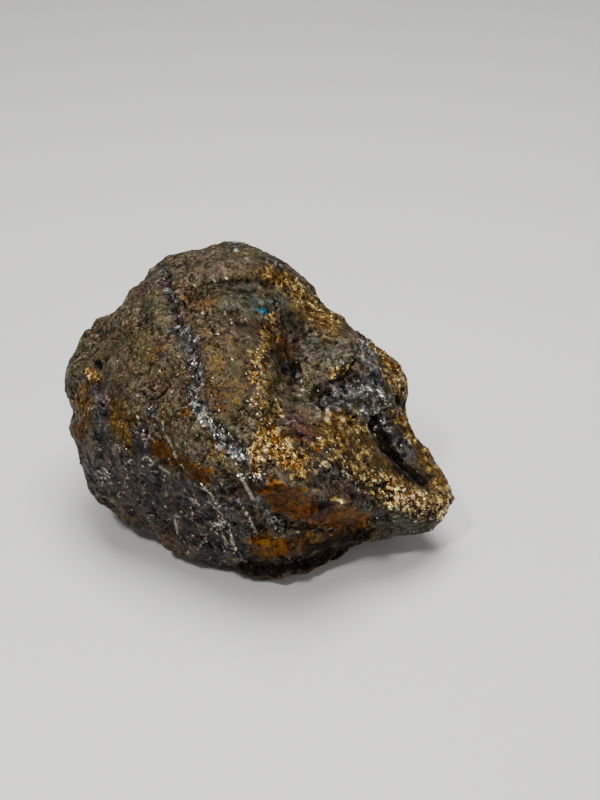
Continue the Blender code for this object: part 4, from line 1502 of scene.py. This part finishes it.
@dataclass
class BrightGrains:
    """Small angular crystals that stand out of the surface, most of them where the ore is rich."""

    surface: bpy.types.Object
    count: int = 9000
    spacing: float = 0.70
    smallest: float = 0.24
    largest: float = 0.66
    size_power: float = 2.2
    squeeze: float = 0.65
    stretch: float = 1.25
    sunk: float = 0.26
    shape_count: int = 8
    block: float = 0.8
    cuts: int = 3
    nearest_cut: float = 0.18
    farthest_cut: float = 0.36
    on_plain: float = 0.05
    on_rich: float = 0.90
    on_steel: float = 0.25
    on_ochre: float = 0.10
    even_loss: float = 0.5
    plain_lift: float = 0.25
    rich_lift: float = 0.75
    lift_power: float = 1.6
    seed: int = 11

    def painted(self, name: str) -> np.ndarray:
        """Read back what is painted on the surface.

        Args:
            name: The painted layer's name.

        Returns:
            One number a point.
        """
        values = np.empty(len(self.surface.data.vertices), dtype=np.float32)
        self.surface.data.attributes[name].data.foreach_get("value", values)
        return values

    def shape(self, chance: np.random.Generator) -> Shape:
        """Model one grain, about 1 across: a block with flat faces cut off it.

        Args:
            chance: Where the cuts come from.

        Returns:
            The grain's points and its triangles.
        """
        bpy.ops.object.select_all(action="DESELECT")
        bpy.ops.mesh.primitive_cube_add(size=self.block)
        grain = bpy.context.object
        bpy.ops.object.mode_set(mode="EDIT")
        for _ in range(self.cuts):
            facing = Vector(chance.normal(size=3)).normalized()
            middle = facing * chance.uniform(self.nearest_cut, self.farthest_cut)
            bpy.ops.mesh.select_all(action="SELECT")
            bpy.ops.mesh.bisect(plane_co=middle, plane_no=facing, use_fill=True, clear_outer=True)
        bpy.ops.mesh.select_all(action="SELECT")
        bpy.ops.mesh.remove_doubles(threshold=0.03)
        bpy.ops.mesh.quads_convert_to_tris()
        bpy.ops.mesh.normals_make_consistent(inside=False)
        bpy.ops.object.mode_set(mode="OBJECT")
        points = np.array([vertex.co[:] for vertex in grain.data.vertices])
        triangles = np.array([face.vertices[:] for face in grain.data.polygons])
        bpy.data.objects.remove(grain)
        return points, triangles

    def sites(self, skin: Skin, chance: np.random.Generator) -> np.ndarray:
        """Choose the points of the surface that carry a grain, no two in one small cell.

        Args:
            skin: The surface.
            chance: Where the choice comes from.

        Returns:
            The points' numbers.
        """
        share = {mineral: self.painted(mineral.value) for mineral in Mineral}
        rich = np.maximum(share[Mineral.GOLD], share[Mineral.GLINT])
        wanted = self.on_plain + self.on_rich * rich
        wanted = wanted + self.on_steel * share[Mineral.STEEL] + self.on_ochre * share[Mineral.OCHRE]
        wanted *= 1.0 - share[Mineral.EARTH]
        wanted *= 1.0 - share[Mineral.DARK]
        wanted *= 1.0 - self.even_loss * share[Mineral.EVEN]
        wanted *= smoothstep(1.0, 2.5, skin.places[:, 2])
        picked = chance.choice(len(wanted), size=self.count, replace=False, p=wanted / wanted.sum())
        cells = np.floor(skin.places[picked] / self.spacing).astype(int)
        _, first = np.unique(cells, axis=0, return_index=True)
        return picked[np.sort(first)]

    def placed(
        self, skin: Skin, chosen: np.ndarray, shapes: list[Shape], chance: np.random.Generator
    ) -> tuple[np.ndarray, np.ndarray, np.ndarray]:
        """Size, stretch and turn a grain for each chosen point and sink it into the surface.

        Args:
            skin: The surface.
            chosen: The numbers of the points that carry a grain.
            shapes: The modelled grains, each as points and triangles.
            chance: Where each grain's shape, size and turn come from.

        Returns:
            All the points in mm, all the triangles, and the number of the grain that each point is of.
        """
        points, triangles, owners = [], [], []
        total = 0
        for number, site in enumerate(chosen):
            shape_points, shape_triangles = shapes[chance.integers(self.shape_count)]
            size = self.smallest + (self.largest - self.smallest) * chance.random() ** self.size_power
            stretch = size * chance.uniform(self.squeeze, self.stretch, size=3)
            turn, _ = np.linalg.qr(chance.normal(size=(3, 3)))
            turn *= np.sign(np.linalg.det(turn))
            middle = skin.places[site] - skin.normals[site] * self.sunk * size
            points.append((shape_points * stretch) @ turn.T + middle)
            triangles.append(shape_triangles + total)
            owners.append(np.full(len(shape_points), number))
            total += len(shape_points)
        return np.concatenate(points), np.concatenate(triangles), np.concatenate(owners)

    def build(self, material: bpy.types.Material) -> bpy.types.Object:
        """Set all the grains into the surface as one piece.

        Args:
            material: The ore's finish.

        Returns:
            The finished piece.
        """
        chance = np.random.default_rng(self.seed)
        shapes = [self.shape(chance) for _ in range(self.shape_count)]
        skin = Skin(self.surface.data)
        chosen = self.sites(skin, chance)
        points, triangles, owner = self.placed(skin, chosen, shapes, chance)
        mesh = bpy.data.meshes.new("bright_grains")
        mesh.from_pydata((points * MM).tolist(), [], triangles.tolist())
        piece = bpy.data.objects.new("bright_grains", mesh)
        bpy.context.collection.objects.link(piece)
        layers = {mineral.value: self.painted(mineral.value)[chosen][owner] for mineral in Mineral}
        most = self.plain_lift + self.rich_lift * self.painted("rich")[chosen]
        lift = most * chance.random(len(chosen)) ** self.lift_power
        layers["lift"] = lift[owner]
        keep_layers(mesh, layers)
        lone(piece)
        bpy.ops.object.shade_flat()
        mesh.materials.append(material)
        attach(piece, BODY)
        return piece


@dataclass
class Studio:
    """A pale floor, soft light from above and in front, and the camera."""

    view: FrontView
    lamps: tuple[Lamp, ...] = LAMPS
    floor_size: float = 4.0
    floor_colour: Colour = (0.56, 0.56, 0.55)
    floor_roughness: float = 0.75
    world_colour: Colour = (0.86, 0.88, 0.90)
    world_strength: float = 0.26
    aim: Point = (0.0, 0.0, 0.03)
    sensor_width: float = 36.0

    def floor(self) -> None:
        """Lay the pale floor under the stone."""
        bpy.ops.object.select_all(action="DESELECT")
        bpy.ops.mesh.primitive_plane_add(size=self.floor_size, location=(0.0, 0.0, 0.0))
        floor = bpy.context.object
        floor.name = "floor"
        material = bpy.data.materials.new("pale_floor")
        material.use_nodes = True
        shader = material.node_tree.nodes["Principled BSDF"]
        shader.inputs["Base Color"].default_value = (*self.floor_colour, 1.0)
        shader.inputs["Roughness"].default_value = self.floor_roughness
        floor.data.materials.append(material)

    def lights(self) -> None:
        """Hang the square soft lights, each pointed at the stone."""
        for lamp in self.lamps:
            bpy.ops.object.select_all(action="DESELECT")
            bpy.ops.object.light_add(type="AREA", location=lamp.place)
            piece = bpy.context.object
            piece.name = lamp.name
            piece.data.shape = "SQUARE"
            piece.data.size = lamp.size
            piece.data.energy = lamp.power
            piece.data.color = lamp.colour
            aim = Vector(self.aim) - Vector(lamp.place)
            piece.rotation_euler = aim.to_track_quat("-Z", "Y").to_euler()

    def world(self) -> None:
        """Light the surroundings evenly with a light grey."""
        world = bpy.data.worlds.new("pale_room")
        world.use_nodes = True
        background = world.node_tree.nodes["Background"]
        background.inputs["Color"].default_value = (*self.world_colour, 1.0)
        background.inputs["Strength"].default_value = self.world_strength
        bpy.context.scene.world = world

    def camera(self) -> None:
        """Set the camera where the stone's front is seen from."""
        bpy.ops.object.select_all(action="DESELECT")
        turn = (math.radians(90.0 - self.view.lean_deg), 0.0, 0.0)
        bpy.ops.object.camera_add(location=self.view.eye(), rotation=turn)
        camera = bpy.context.object
        camera.name = "camera"
        camera.data.sensor_width = self.sensor_width
        camera.data.lens = self.sensor_width * self.view.eye_out / self.view.frame_height
        camera.data.clip_start = 0.01
        bpy.context.scene.camera = camera

    def build(self) -> None:
        """Set up the floor, the lights, the surroundings and the camera."""
        self.floor()
        self.lights()
        self.world()
        self.camera()


def main() -> None:
    """Build the stone and its surroundings in order, and report each piece."""
    logging.basicConfig(level=logging.INFO, format="%(message)s")
    view = FrontView()
    markings = Markings(view)
    groups = OreGroups()
    ore = OreFinish(groups).build()
    surface = StoneSurface(markings).build(ore)
    LOG.info("%s: %d faces", surface.name, len(surface.data.polygons))
    grains = BrightGrains(surface).build(ore)
    LOG.info("%s: %d faces", grains.name, len(grains.data.polygons))
    Studio(view).build()
    LOG.info("studio: floor, lights and camera")


if __name__ == "__main__":
    main()
